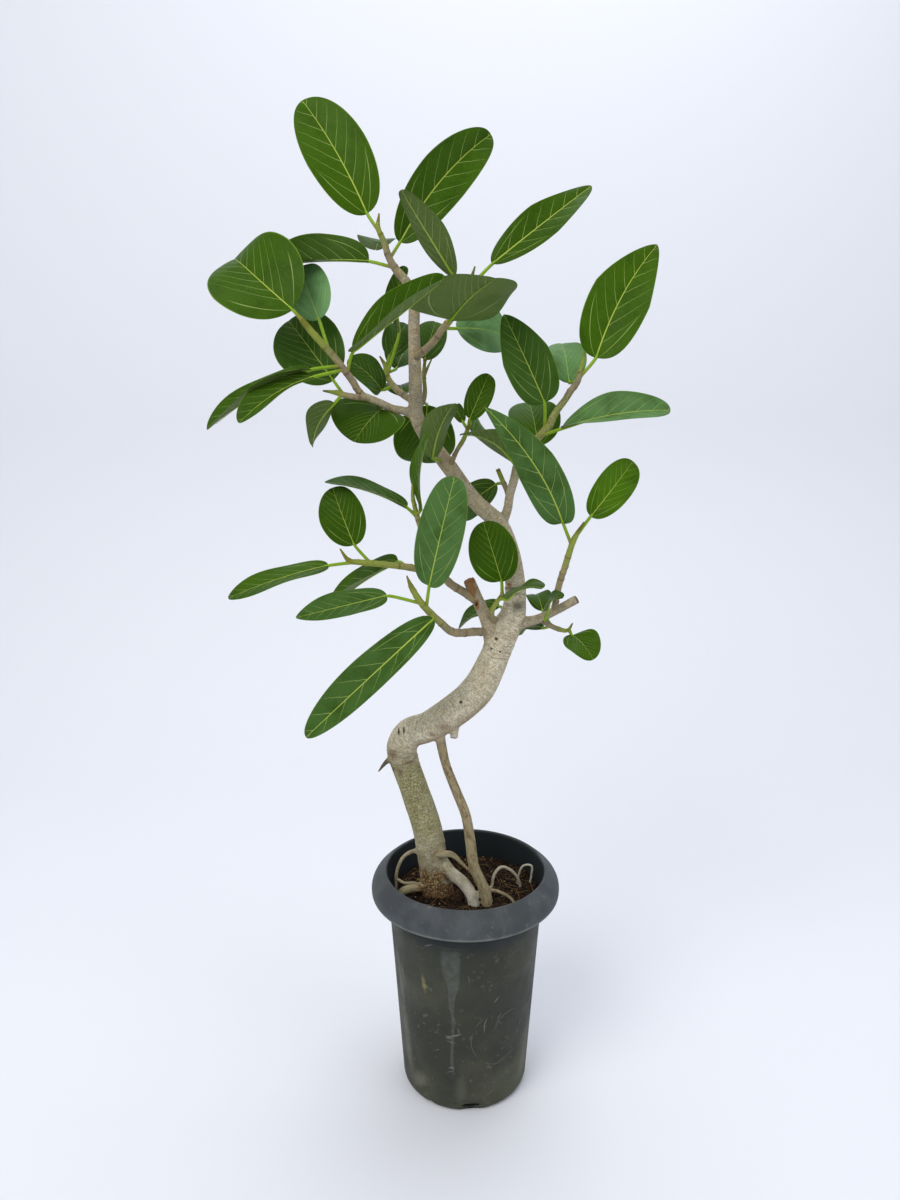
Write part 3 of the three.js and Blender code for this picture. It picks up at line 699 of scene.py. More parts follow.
# The blade: an upper and a lower skin that meet at the rim
def addBlade(bm, form, axes):
    planLayer = bm.verts.layers.float_vector["plan"]
    toneLayer = bm.verts.layers.float["tone"]
    both = []
    for under in (False, True):
        made = bmesh.ops.create_grid(bm, x_segments=leafCut["across"],
                                     y_segments=leafCut["along"], size=1)["verts"]
        for vert in made:
            across = math.copysign(abs(vert.co.x) ** leafCut["crowd"], vert.co.x)
            row = (vert.co.y + 1) / 2
            spot, normal, plan = bladeAt(form, axes, across, row)
            rimward = (1 - across ** 2) * math.sin(math.pi * row) ** 0.5
            spot += normal * leafCut["pillow"] * pillowAt(plan) * rimward
            if under:
                spot -= normal * leafCut["thickness"] * rimward
            vert[planLayer] = plan
            vert[toneLayer] = form["tone"]
            vert.co = spot * mm
        faces = {face for vert in made for face in vert.link_faces}
        for face in faces:
            face.material_index = underSlot if under else upperSlot
            face.smooth = True
        if under:
            bmesh.ops.reverse_faces(bm, faces=list(faces))
        both += made
    rim = [vert for vert in both if any(e.is_boundary for e in vert.link_edges)]
    bmesh.ops.remove_doubles(bm, verts=rim, dist=2e-6)
    for edge in {edge for vert in rim if vert.is_valid for edge in vert.link_edges}:
        if len({face.material_index for face in edge.link_faces}) > 1:
            edge.smooth = False


stalkForm = {"sides": 8, "step": 5, "swellAt": 0.16, "below": 0.2,
             "radii": [2.3, 1.75, 1.6, 1.15, 0.9, 0.7, 0.5, 0.25],
             "rows": [0.16, 0.32, 0.48, 0.64, 0.82]}


# The stalk runs on under the blade as its raised midrib
def addStalk(bm, root, form, axes):
    neck, normal, _ = bladeAt(form, axes, 0, 0)
    neck -= normal * leafCut["thickness"] / 2
    centres = [root, root.lerp(neck, stalkForm["swellAt"]), neck]
    for row in stalkForm["rows"]:
        spot, normal, _ = bladeAt(form, axes, 0, row)
        centres.append(spot - normal * (leafCut["thickness"] + stalkForm["below"]))
    stations = [(*centre, radius) for centre, radius in zip(centres, stalkForm["radii"])]
    toneLayer = bm.verts.layers.float["tone"]
    for vert in addStem(bm, stations, stalkForm["sides"], stalkForm["step"], stalkSlot):
        vert[toneLayer] = form["tone"]


twigForm = {"sides": 12, "step": 1.6, "firstKnot": (3, 8), "lastKnot": 8, "knotGap": (5, 19),
            "knotWidth": 1.3, "knotHeight": 0.5, "grainHeight": 0.16, "fullRadius": 2.5,
            "looseTone": (-0.14, 0.18)}


# Knots at random places along a twig, uneven round it, with a fine grain
def twigSwell(stations, draw):
    length = sum((Vector(b[:3]) - Vector(a[:3])).length for a, b in zip(stations, stations[1:]))
    knots = []
    reach = draw.uniform(*twigForm["firstKnot"])
    while reach < length - twigForm["lastKnot"]:
        knots.append(reach)
        reach += draw.uniform(*twigForm["knotGap"])

    def swell(place, turn):
        knob = 0
        for i, knot in enumerate(knots):
            patchy = 0.55 + 0.45 * math.sin(turn + 2.4 * i)
            knob += patchy * math.exp(-((place["reach"] - knot) / twigForm["knotWidth"]) ** 2)
        spot = Vector((math.cos(turn) * 2, math.sin(turn) * 2, place["reach"] * 0.3))
        thick = min(1, place["radius"] / twigForm["fullRadius"])
        return thick * (twigForm["knotHeight"] * knob + twigForm["grainHeight"] * noise.noise(spot))
    return swell


def makeShoots():
    veinGroup = leafVeins()
    materials = [leafUpperMaterial(veinGroup), leafUnderMaterial(veinGroup), stalkMaterial(),
                 twigMaterial()]
    draw = random.Random(7)
    for node, twigs in shootLines.items():
        bm = bmesh.new()
        bm.verts.layers.float_vector.new("plan")
        bm.verts.layers.float.new("tone")
        for line, leaves in twigs:
            if len(line) > 1:
                swell = twigSwell(line, draw)
                addStem(bm, line, twigForm["sides"], twigForm["step"], twigSlot, swell,
                        lambda place, turn: (swell(place, turn), place["share"], 0))
                places = walkLine(line, twigForm["step"])
            else:
                places = [{"centre": Vector(line[0])}]
            for form in leaves:
                if form["tone"] is None:
                    form["tone"] = draw.uniform(*twigForm["looseTone"])
                axes = leafFrame(form)
                root = places[round(form["on"] * (len(places) - 1))]["centre"]
                addBlade(bm, form, axes)
                addStalk(bm, root, form, axes)
        parts = node.split("_")
        name = parts[0] + "".join(part.capitalize() for part in parts[1:])
        standIn(newObject(name, bm, materials), node)
    print("shoots and leaves made")


# The tree: every stem in one skin

treeForm = {
    "sides": 28, "step": 4.0, "voxel": 1.3, "smoothing": 3,
    # Roots too thin for the skin, which are added to it afterwards
    "thin": ("loopRoot", "rimLoopRoot", "archFork"), "slimness": 0.78, "thinSides": 10, "thinStep": 1.5,
    # Straightened coordinates, in which each stem starts further on than the one before
    "placeStep": 2.0, "neighbours": 10, "stemShift": 400,
    # Bumps and hollows, full from this radius of the stem on
    "grain": 0.22, "grainScale": (0.09, 0.09, 0.3), "lump": 0.7, "lumpScale": 0.028,
    "fullRadius": 14, "scarReach": 2.5,
    "layers": ("coat", "pale", "aerial", "high", "cut", "upward", "tender"),
}

# Bumps at places on the skin: the middle, the radius and the rise
treeScars = [
    ((-9, -16, 456), 5.5, 1.0), ((-6, -18, 462), 1.6, -1.2), ((-72, -8, 426), 2.6, -0.7),
    ((-67, -11, 428), 2.6, -0.7), ((-27, -14, 431), 7.0, 0.8), ((17, -12, 538), 5.0, 0.9),
    ((43, -10, 587), 3.4, 0.9),
]

# Rings raised or sunk round the trunk: place along its line, width and rise
trunkRings = [
    (120, 1.6, 0.5), (224, 1.6, 0.45), (230, 1.3, -0.4), (236, 1.6, 0.4), (392, 1.4, -0.35),
    (399, 1.4, -0.4), (405, 1.6, 0.35), (466, 1.7, 0.5), (470, 1.1, -0.5), (560, 1.4, 0.35),
    (641, 1.4, 0.3),
]

# Where the kinds of bark lie: heights and lengths in mm, or shares of a stem's length
zoneForm = {
    "crown": ("trunk", "paleRoot", "leftRoot", "knuckleRoot"), "coatTop": (250, 278),
    "coatEnds": {"paleRoot": (14, 24), "leftRoot": (14, 30)},
    "pale": {"loopRoot": 0.7, "rimLoopRoot": 0.7, "archRoot": 0.2, "archFork": 0.2},
    "paleStart": (14, 32),
    "aerial": {"knuckleRoot": 0.8, "leftRoot": 0.85, "archRoot": 1, "archFork": 1, "loopRoot": 1,
               "rimLoopRoot": 1, "rightRoot": 1},
    "aerialStart": (8, 26),
    "high": (520, 760), "limbs": {"leftStub", "rightStub", "leftLimb", "rightLimb"}, "limbHigh": 0.85,
    "cut": {"leftStub": (0.97, 1), "rightStub": (0.97, 1), "shortStub": (0.97, 1),
            "elbowSpike": (0.45, 0.6)},
    # The most a stem shows, and between which places it comes in
    "tender": {"rightLimb": (1, 0.25, 0.55), "leftLimb": (0.4, 0.5, 1)}, "tenderTop": (0.5, 780, 830),
    # Heights in mm and scales of the waver of the borders
    "waver": [(6, 0.12), (3, 0.35)],
}


# Places along every stem, each with its stem's name and number
def straightenedPlaces():
    places = []
    for index, (name, stations) in enumerate([("trunk", trunkLine), *limbLines.items()]):
        for place in walkLine(stations, treeForm["placeStep"]):
            places.append({**place, "stem": name, "index": index})
    return places


# The place whose stem's surface is nearest
def nearestPlace(near, places, spot):
    best, least = None, math.inf
    for _, i, gap in near.find_n(spot, treeForm["neighbours"]):
        outside = gap - places[i]["radius"]
        if outside < least:
            best, least = places[i], outside
    return best


def makeTree():
    bm = bmesh.new()
    for name, stations in [("trunk", trunkLine), *limbLines.items()]:
        if name not in treeForm["thin"]:
            addStem(bm, stations, treeForm["sides"], treeForm["step"])
    rough = newObject("roughTree", bm, [])
    skin = rough.modifiers.new("skin", "REMESH")
    skin.mode = "VOXEL"
    skin.voxel_size = treeForm["voxel"] * mm
    bm = bmesh.new()
    bm.from_mesh(rough.evaluated_get(bpy.context.evaluated_depsgraph_get()).data)
    bpy.data.objects.remove(rough)
    for _ in range(treeForm["smoothing"]):
        bmesh.ops.smooth_vert(bm, verts=bm.verts, factor=0.5,
                              use_axis_x=True, use_axis_y=True, use_axis_z=True)
    for name in treeForm["thin"]:
        slim = [(x, y, z, radius * treeForm["slimness"]) for x, y, z, radius in limbLines[name]]
        addStem(bm, slim, treeForm["thinSides"], treeForm["thinStep"])
    bm.normal_update()
    places = straightenedPlaces()
    near = kdtree.KDTree(len(places))
    for i, place in enumerate(places):
        near.insert(place["centre"], i)
    near.balance()
    straightLayer = bm.verts.layers.float_vector.new("straight")
    layers = {name: bm.verts.layers.float.new(name) for name in treeForm["layers"]}
    for vert in bm.verts:
        spot = vert.co / mm
        place = nearestPlace(near, places, spot)
        side = spot - place["centre"]
        binormal = place["tangent"].cross(place["normal"])
        along = place["reach"] + treeForm["stemShift"] * place["index"] + side.dot(place["tangent"])
        straight = Vector((side.dot(place["normal"]), side.dot(binormal), along))
        vert[straightLayer] = straight * mm
        for name, value in zones(place, spot).items():
            vert[layers[name]] = value
        # How far the skin faces up, which the bark uses for its painted top light and painted underside
        # shade
        vert[layers["upward"]] = vert.normal.z
        vert.co += vert.normal * relief(place, spot, straight) * mm
    smoothAll(bm)
    standIn(newObject("trunkAndRoots", bm, [barkMaterial()]), "trunk_and_roots")
    print("tree made")


# How much of each kind of bark a place shows, from 0 to 1
def zones(place, spot):
    stem, reach, share = place["stem"], place["reach"], place["share"]
    ragged = sum(height * noise.noise(spot * scale) for height, scale in zoneForm["waver"])
    coat = 1 - fade(spot.z + ragged, *zoneForm["coatTop"]) if stem in zoneForm["crown"] else 0
    if stem in zoneForm["coatEnds"]:
        coat *= 1 - fade(reach + ragged, *zoneForm["coatEnds"][stem])
    pale = zoneForm["pale"].get(stem, 0)
    if stem == "paleRoot":
        pale = fade(reach + 0.6 * ragged, *zoneForm["paleStart"])
    aerial = zoneForm["aerial"].get(stem, 0)
    if stem == "aerialRoot":
        aerial = fade(reach, *zoneForm["aerialStart"])
    high = zoneForm["limbHigh"] if stem in zoneForm["limbs"] else fade(spot.z, *zoneForm["high"])
    cut = fade(share, *zoneForm["cut"][stem]) if stem in zoneForm["cut"] else 0
    most, low, full = zoneForm["tender"].get(stem, (0, 0, 1))
    tender = most * fade(share, low, full)
    if stem == "trunk":
        most, low, full = zoneForm["tenderTop"]
        tender = most * fade(reach, low, full)
    return {"coat": coat, "pale": pale, "aerial": aerial, "high": high, "cut": cut, "tender": tender}


# Bumps and hollows of the bark, in mm along the surface's normal
def relief(place, spot, straight):
    thick = min(1, place["radius"] / treeForm["fullRadius"])
    scale = Vector(treeForm["grainScale"])
    grain = noise.noise(Vector(a * b for a, b in zip(straight, scale)) * 4)
    lump = noise.noise(spot * treeForm["lumpScale"])
    out = thick * (treeForm["lump"] * lump + treeForm["grain"] * grain)
    for middle, radius, rise in treeScars:
        gap = (spot - Vector(middle)).length / radius
        if gap < treeForm["scarReach"]:
            out += rise * math.exp(-gap * gap)
    if place["stem"] == "trunk":
        for reach, width, rise in trunkRings:
            out += rise * math.exp(-((place["reach"] - reach) / width) ** 2)
    return out


# Leaf materials

# The veins of a leaf, worked out from its plan: side distance and share of its length
def leafVeins():
    outputs = ["Veins", "Rib", "Net", "Rim", "Pillow"]
    tree, given, out = newGroup("leafVeins", ["Plan"], ["Width"], outputs)
    wobble = fed("TexNoise", {"Vector": given["Plan"], "Scale": 5.0, "Detail": 1.0})
    bent = vectorCalc("SUBTRACT", wobble.outputs["Color"], (0.5, 0.5, 0.5))
    bent = vectorCalc("MULTIPLY_ADD", bent, veinPlan["wobble"], given["Plan"])
    x, share, _ = axesOf(bent)
    straight, _, across = axesOf(given["Plan"])
    across, side = calc("ABSOLUTE", across), calc("ABSOLUTE", x)
    lean = times(scaled(side, veinPlan["bend"], veinPlan["slope"]), side)
    place = times(calc("SUBTRACT", share, lean), veinPlan["pairs"])
    place = scaled(calc("GREATER_THAN", x, 0.0), veinPlan["alternate"], place)
    inside = calc("GREATER_THAN", place, veinPlan["firstPair"])
    away = calc("DIVIDE", calc("PINGPONG", place, 0.5), veinPlan["pairs"] * 1.5)
    width = times(given["Width"], calc("SUBTRACT", 1.15, across))
    line = times(steps(away, width, 0.0), steps(share, 0.08, 0.16), steps(across, 0.97, 0.8), inside)
    # The strong basal pair follows the margin
    reach = veinPlan["basalReach"]
    rise = calc("POWER", calc("DIVIDE", share, reach), veinPlan["basalBend"])
    basal = calc("ABSOLUTE", scaled(rise, -veinPlan["basalSide"], across))
    basal = times(steps(basal, 0.022, 0.0), steps(share, reach * 1.15, reach * 0.7))
    ribWidth = scaled(share, *veinPlan["ribWidth"])
    away = calc("SUBTRACT", calc("ABSOLUTE", straight), ribWidth)
    net = cells(bent, veinPlan["netScale"], "DISTANCE_TO_EDGE")
    pillow = calc("SINE", times(calc("PINGPONG", place, 1.0), math.pi))
    values = [calc("MAXIMUM", line, basal), steps(away, *veinPlan["ribEdge"]), steps(net, 0.07, 0.0),
              steps(across, *veinPlan["rim"]), times(pillow, inside)]
    for name, value in zip(outputs, values):
        plug(value, out[name])
    return tree


# The pale bluish green mixed in below a tone of 0 is a painted sky sheen
leafLook = palette(
    deep="2f4d00", young="5b8c02", shade="233f00", cool="6b965e", vein="a6ba66", rib="b0bf50",
    rim="7c9a34", underDeep="566a33", underYoung="6d8c2c", underVein="9db06c", stalk="85a81f",
    stalkRoot="8a8a3a", stalkMottle="5d7a17", midrib="9bb04c")


def leafUpperMaterial(veinGroup):
    material, tree = newMaterial("leafUpper")
    place, tone = objectPlace(tree), attribute(tree, "tone")
    veins = useGroup(veinGroup, Plan=attribute(tree, "plan", "Vector"), Width=0.0034)
    base = mix(calc("MAXIMUM", tone, 0.0), leafLook["deep"], leafLook["young"])
    base = layered(base, leafLook, [
        # Painted sheen: below 0 the tone mixes in a pale bluish green that stands for the sky's
        # reflection on the leaf
        (calc("MULTIPLY", tone, -1.0, clamp=True), "cool", 1),
        (steps(cloud(place, 38.0, 4), 0.42, 0.72), "shade", 0.55),
        (veins["Net"], "vein", 0.1), (veins["Veins"], "vein", 0.72),
        (veins["Rib"], "rib", 0.9), (veins["Rim"], "rim", 0.5),
    ])
    rough = steps(cloud(place, 60.0), 0.3, 0.7, 0.34, 0.46)
    height = scaled(veins["Veins"], -0.5, times(veins["Pillow"], 0.6))
    height = scaled(veins["Net"], -0.1, height)
    height = scaled(veins["Rib"], 0.6, height)
    return finishMaterial(material, base, rough, height, bump=0.3, reach=0.0006, shine=0.055)


def leafUnderMaterial(veinGroup):
    material, tree = newMaterial("leafUnderside")
    place, tone = objectPlace(tree), attribute(tree, "tone")
    veins = useGroup(veinGroup, Plan=attribute(tree, "plan", "Vector"), Width=0.0045)
    base = mix(calc("MAXIMUM", tone, 0.0), leafLook["underDeep"], leafLook["underYoung"])
    base = layered(base, leafLook, [
        (steps(cloud(place, 45.0, 4), 0.35, 0.7), "shade", 0.25),
        (veins["Net"], "underVein", 0.36), (veins["Veins"], "underVein", 0.9),
        (veins["Rib"], "midrib", 1),
    ])
    height = scaled(veins["Net"], 0.15, veins["Veins"])
    return finishMaterial(material, base, 0.6, height, bump=0.5, reach=0.0007, shine=0.12)


# Stalks: green with a brown root, paler where they run on as the midrib
def stalkMaterial():
    material, tree = newMaterial("leafStalk")
    share = axesOf(attribute(tree, "plan", "Vector"))[1]
    mottle = steps(cloud(objectPlace(tree), 260.0, 4), 0.35, 0.65)
    base = mix(steps(share, 0.12, 0.02), leafLook["stalk"], leafLook["stalkRoot"])
    base = layered(base, leafLook, [
        (steps(share, 0.25, 0.5), "midrib", 1), (mottle, "stalkMottle", 0.22)])
    return finishMaterial(material, base, 0.45, mottle, bump=0.2, reach=0.0003)


twigLook = palette(bark="9a8a66", grey="807762", scar="5c3a22", tender="8a9440", bud="75742c")


def twigMaterial():
    material, tree = newMaterial("twigBark")
    place = objectPlace(tree)
    knot, share, _ = axesOf(attribute(tree, "plan", "Vector"))
    base = mix(steps(cloud(place, 120.0, 5), 0.35, 0.65), twigLook["bark"], twigLook["grey"])
    tender = scaled(cloud(place, 90.0), 0.3, share)
    knot = times(steps(knot, 0.12, 0.34), steps(share, 0.85, 0.7))
    scars = times(steps(cells(place, 420.0), 0.32, 0.12), steps(cloud(place, 160.0), 0.5, 0.62))
    base = layered(base, twigLook, [
        (steps(tender, 0.5, 0.9), "tender", 1), (steps(share, 0.85, 0.93), "bud", 1),
        (knot, "scar", 0.5), (scars, "scar", 0.8),
    ])
    height = calc("SUBTRACT", cloud(place, 300.0, 5), scars)
    return finishMaterial(material, base, 0.75, height, bump=0.5, reach=0.0006)


# Bark

# The over tone is a painted top light and the under tone a painted underside shade
barkLook = palette(
    pale="e3d8bc", warm="c9bc9c", silver="cbc6b6", green="a3a06c", mossy="85854a", over="d0cbb0",
    crown="b2ae96", under="8f7654", grey="a59a84", tan="b09a74", coat="94754d", coatDark="5a462f",
    coatPale="b4a27a", coatRed="5c3c28", aerial="9d9070", aerialDark="75654a", aerialGreen="8c8768",
    root="bcb8aa", rootShade="9d9884", scar="33261a", crease="6a5f48", cutEdge="54443a",
    tender="8f9a42", rust="95622f", dirt="66492c", mould="4a4c3a")

# Heights in m between which one look fades into the next
barkZones = {"low": (0.42, 0.37), "crown": (0.325, 0.28), "rootFoot": (0.33, 0.23),
             "redCoat": (0.246, 0.234)}

# Dark rings on the trunk: place along its line, half width in mm, strength
barkRings = [(118, 1.3, 0.45), (180, 0.9, 0.2), (224, 1.0, 0.5), (231, 1.2, 0.55), (237, 0.8, 0.4),
             (311, 0.9, 0.25), (319, 0.9, 0.25), (391, 1.0, 0.4), (399, 0.9, 0.45), (407, 0.8, 0.3),
             (467, 1.6, 0.6)]

# Kinds of small marks: strength, inner edge, and for each its middle and half sizes
barkMarks = {
    # Painted shadow: a dark green-grey patch on the trunk just below the small leaf
    "mould": (0.8, 0.1, [((53, -11, 565), (10, 9, 9)), ((49, -11, 578), (9, 9, 2))]),
    # The first two are brown dirt where the hanging root joins; the other three, round and under the
    # elbow, are painted shade
    "dirt": (0.62, 0.1, [
        ((-25, -13, 434), (10, 9, 5)), ((-36, -12, 425), (7, 9, 4)), ((-80, -9, 399), (11, 9, 8)),
        ((-60, -12, 391), (12, 9, 3)), ((-71, -10, 380), (6, 9, 7)),
    ]),
    "rust": (0.85, 0.55, [
        ((3, -12, 592), (7, 14, 9)), ((6, -11, 580), (5, 14, 9)), ((11, -9, 566), (3, 8, 8)),
        ((17, -13, 538), (4, 6, 3)), ((43, -11, 587), (4.5, 6, 3)),
    ]),
    "scar": (0.9, 0.55, [
        ((-72.5, -9, 426), (1.3, 9, 5)), ((-67, -12, 428), (1.5, 9, 5)),
        ((-6, -18, 462), (2.2, 6, 2.2)), ((31, -15, 531), (2.1, 6, 2.1)),
        ((20, -13, 521), (1.7, 6, 1.8)), ((26, -15, 520), (1.4, 6, 1.4)),
        ((35, -14, 517), (1.5, 6, 1.5)), ((52, -9, 584), (11, 9, 1.0)),
        ((4, -10, 597), (3.5, 6, 3.5)), ((10, -9, 567), (2.2, 6, 3.5)),
    ]),
}


def spotMask():
    tree, given, out = newGroup("spotMask", ["Vector", "Middle", "Size"], ["Soft"], ["Mask"])
    apart = vectorCalc("SUBTRACT", given["Vector"], given["Middle"])
    gap = distance(vectorCalc("DIVIDE", apart, given["Size"]))
    plug(steps(gap, 1.1, given["Soft"]), out["Mask"])
    return tree


# Fine bark: small cells wider round the stem than along it, and cracks across the stem
def fineBark():
    tree, given, out = newGroup("fineBark", ["Straight"], [], ["Lines", "Rings", "Tint"])
    bent = cloud(given["Straight"], 60.0, 2)
    moved = vectorCalc("MULTIPLY", (0.0, 0.0, 0.006), bent)
    moved = vectorCalc("ADD", given["Straight"], moved)
    laid = stretched(moved, (210.0, 210.0, 560.0))
    wide = cloud(stretched(moved, (48.0, 48.0, 480.0)), 1.0, 4, 0.62)
    cracks = steps(calc("ABSOLUTE", calc("SUBTRACT", wide, 0.52)), 0.022, 0.0)
    plug(steps(cells(laid, 1.0, "DISTANCE_TO_EDGE"), 0.09, 0.0), out["Lines"])
    plug(cellTone(laid, 1.0), out["Tint"])
    plug(cracks, out["Rings"])
    return tree


def barkMaterial():
    material, tree = newMaterial("bark")
    place, straight = objectPlace(tree), attribute(tree, "straight", "Vector")
    zone = {name: attribute(tree, name) for name in treeForm["layers"]}
    x, _, z = axesOf(place)
    fine = useGroup(fineBark(), Straight=straight)
    broad, middle = cloud(place, 20.0, 4), cloud(place, 75.0, 4)
    crown = steps(z, *barkZones["crown"])
    # Green on the lower trunk, most on its left
    low = steps(z, *barkZones["low"])
    green = calc("ADD", scaled(x, -14.0, -0.45), broad)
    lowTone = mix(steps(green, 0.3, 0.9), barkLook["green"], barkLook["mossy"])
    grey = mix(steps(middle, 0.4, 0.62), barkLook["grey"], barkLook["tan"])
    grain, lowGrain = cloud(place, 560.0, 3), scaled(low, 0.22, 0.33)
    plain = calc("SUBTRACT", 1.0, calc("MAXIMUM", zone["pale"], zone["aerial"]), clamp=True)
    worn = steps(cloud(place, 34.0, 3), 0.36, 0.6, 0.15, 1.0)
    lines, rings = times(fine["Lines"], worn), times(fine["Rings"], plain)
    fleck = times(steps(cells(straight, 330.0), 0.26, 0.12), steps(cloud(place, 55.0, 2), 0.48, 0.6))
    base = mix(steps(broad, 0.38, 0.64), barkLook["pale"], barkLook["warm"])
    base = layered(base, barkLook, [
        (steps(middle, 0.52, 0.68, 0.0, 0.6), "silver", 1),
        # Painted light: the over tone lightens the bark where it faces up, and the under tone paints a
        # darker brown shade where it faces down
        (steps(zone["upward"], -0.1, 0.7, 0.0, 0.5), "over", 1),
        (steps(zone["upward"], -0.25, -0.85, 0.0, 0.8), "under", 1),
        (times(low, steps(middle, 0.3, 0.6, 0.7, 0.95)), lowTone, 1),
        (times(crown, steps(middle, 0.3, 0.6, 0.5, 0.85)), "crown", 1),
        (zone["high"], grey, 0.8),
        (times(zone["tender"], steps(middle, 0.3, 0.6, 0.6, 1.0)), "tender", 1),
        (times(steps(grain, 0.5, 0.62), lowGrain), "silver", 1),
        (times(steps(grain, 0.47, 0.36), lowGrain), "crease", 1),
        (lines, "crease", 0.48), (steps(fine["Tint"], 0.6, 1.0, 0.0, 0.22), "crease", 1),
        (rings, "crease", 0.3), (fleck, "scar", 0.34),
    ])
    # Ring scars round the trunk
    drift = scaled(cloud(place, 45.0, 3), 0.008, -0.004)
    along = calc("ADD", axesOf(straight)[2], drift)
    broken = steps(cloud(place, 110.0, 3), 0.36, 0.52, 0.15, 1.0)
    for reach, width, depth in barkRings:
        gap = calc("ABSOLUTE", calc("SUBTRACT", along, reach * mm))
        mask = times(steps(gap, width * mm, 0.0, 0.0, depth), broken, plain)
        base = mix(mask, base, barkLook["scar"])
    # The hanging root, greener at its foot, and the pale roots
    mottle = cloud(stretched(straight, (260.0, 260.0, 90.0)), 1.0, 5, 0.65)
    hanging = mix(steps(mottle, 0.44, 0.62), barkLook["aerial"], barkLook["aerialDark"])
    hanging = layered(hanging, barkLook, [
        (steps(z, *barkZones["rootFoot"], 0.0, 0.3), "aerialGreen", 1), (fleck, "scar", 0.7)])
    pale = mix(steps(middle, 0.38, 0.66), barkLook["root"], barkLook["rootShade"])
    # The granular coat of the root crown
    tone = cellTone(place, 700.0)
    crumbs = mix(steps(tone, 0.25, 0.7), barkLook["coatDark"], barkLook["coat"])
    crumbs = layered(crumbs, barkLook, [
        (steps(tone, 0.7, 0.9), "coatPale", 1),
        (steps(z, *barkZones["redCoat"], 0.0, 0.6), "coatRed", 1)])
    coat = scaled(tone, 0.7, scaled(cloud(place, 150.0, 4), 0.8, zone["coat"]))
    coat = steps(coat, 0.85, 1.25)
    base = layered(base, barkLook, [
        (zone["aerial"], hanging, 1), (zone["pale"], pale, 1), (coat, crumbs, 1),
        (zone["cut"], "cutEdge", 0.8)])
    # Small marks, their edges shifted to and fro by less than a millimetre
    ragged = fed("TexNoise", {"Vector": place, "Scale": 260.0, "Detail": 3.0})
    ragged = vectorCalc("MULTIPLY_ADD", ragged.outputs["Color"], [0.0016] * 3, place)
    ragged = vectorCalc("SUBTRACT", ragged, [0.0008] * 3)
    group = spotMask()
    for kind, (strength, soft, marks) in barkMarks.items():
        for spot, size in marks:
            mask = useGroup(group, Vector=ragged, Middle=Vector(spot) * mm, Size=Vector(size) * mm,
                            Soft=soft)["Mask"]
            base = mix(times(mask, strength), base, barkLook[kind])
    bumps = scaled(lines, -0.5, cloud(straight, 240.0, 5))
    bumps = calc("SUBTRACT", scaled(rings, -0.9, bumps), fleck)
    bumps = calc("ADD", bumps, times(cells(place, 700.0), times(coat, -3.0)))
    return finishMaterial(material, base, 0.8, bumps, bump=0.6, reach=0.0009, shine=0.12)


# The pot

potForm = {
    "baseRadius": 72, "neckRadius": 85.8, "mouthRadius": 88, "collarRadius": 105,
    "collarLow": 234.5, "neckHeight": 226, "lipHeight": 262, "footHeight": 8, "wall": 2.2, "floor": 3.2,
    "steps": 144, "rows": 14, "smoothness": 5,
    "oval": 0.0025, "ovalTurn": 0.7, "dent": 0.004, "dentScale": 1.6,
    "slots": {"count": 6, "size": (16, 5, 14), "atRadius": 50},
    # Turn from the front in degrees and half sizes in mm
    "notches": [(5, (19, 7, 12.5)), (-34, (7, 7, 6)), (185, (13, 7, 9))],
}


# The section's points (radius, height), from the middle of the underside round to the floor inside
def potSection():
    base, neck, mouth = potForm["baseRadius"], potForm["neckRadius"], potForm["mouthRadius"]
    rim, low, wall = potForm["collarRadius"], potForm["collarLow"], potForm["wall"]
    top, rows, high = potForm["neckHeight"], potForm["rows"], potForm["footHeight"]
    foot = [(0, 0), (30, 0), (base - 8, 0), (base - 5, 0.6), (base - 3, 2.2), (base - 1.4, 4.6),
            (base - 0.5, high)]
    outer = [(base - 0.5 + (neck - base + 0.5) * i / rows, high + (top - high) * i / rows)
             for i in range(1, rows + 1)]
    collar = [(mouth - 0.6, 244), (mouth + 2.8, 254.5), (mouth + 8, 251), (rim - 4.4, 244),
              (rim - 2.8, low + 1), (rim - 1, low), (rim, low + 5.5), (rim - 0.8, 246),
              (rim - 4, 252.3), (rim - 9.5, 257.5), (mouth + 3.6, 260.8),
              (mouth + 1.6, potForm["lipHeight"]), (mouth + 0.2, 261), (mouth - 0.8, 255)]
    bent = linePoints([(*point, 0, 0) for point in collar], potForm["smoothness"])
    inner = [(neck - wall + (base - 0.4 - neck) * i / rows, top + (high + 1 - top) * i / rows)
             for i in range(rows + 1)]
    bottom = [(base - 5, 5), (base - 10, potForm["floor"]), (40, potForm["floor"]),
              (0, potForm["floor"])]
    return foot + outer + [tuple(point)[:2] for point, _ in bent] + inner + bottom


def makePot():
    bm = bmesh.new()
    lathe(bm, potSection(), potForm["steps"])
    for vert in bm.verts:
        turn = math.atan2(vert.co.y, vert.co.x)
        high = vert.co.z / (potForm["lipHeight"] * mm)
        oval = potForm["oval"] * math.sin(2 * turn + potForm["ovalTurn"])
        spot = Vector((math.cos(turn), math.sin(turn), 0)) * potForm["dentScale"]
        dent = potForm["dent"] * noise.noise(spot + Vector((0, 0, high * 3)))
        stretch = 1 + high * (oval + dent)
        vert.co.x *= stretch
        vert.co.y *= stretch
    smoothAll(bm)
    pot = newObject("nurseryPot", bm, [potMaterial()])
    cutSlots(pot)
    standIn(pot, "pot")
    print("pot made")


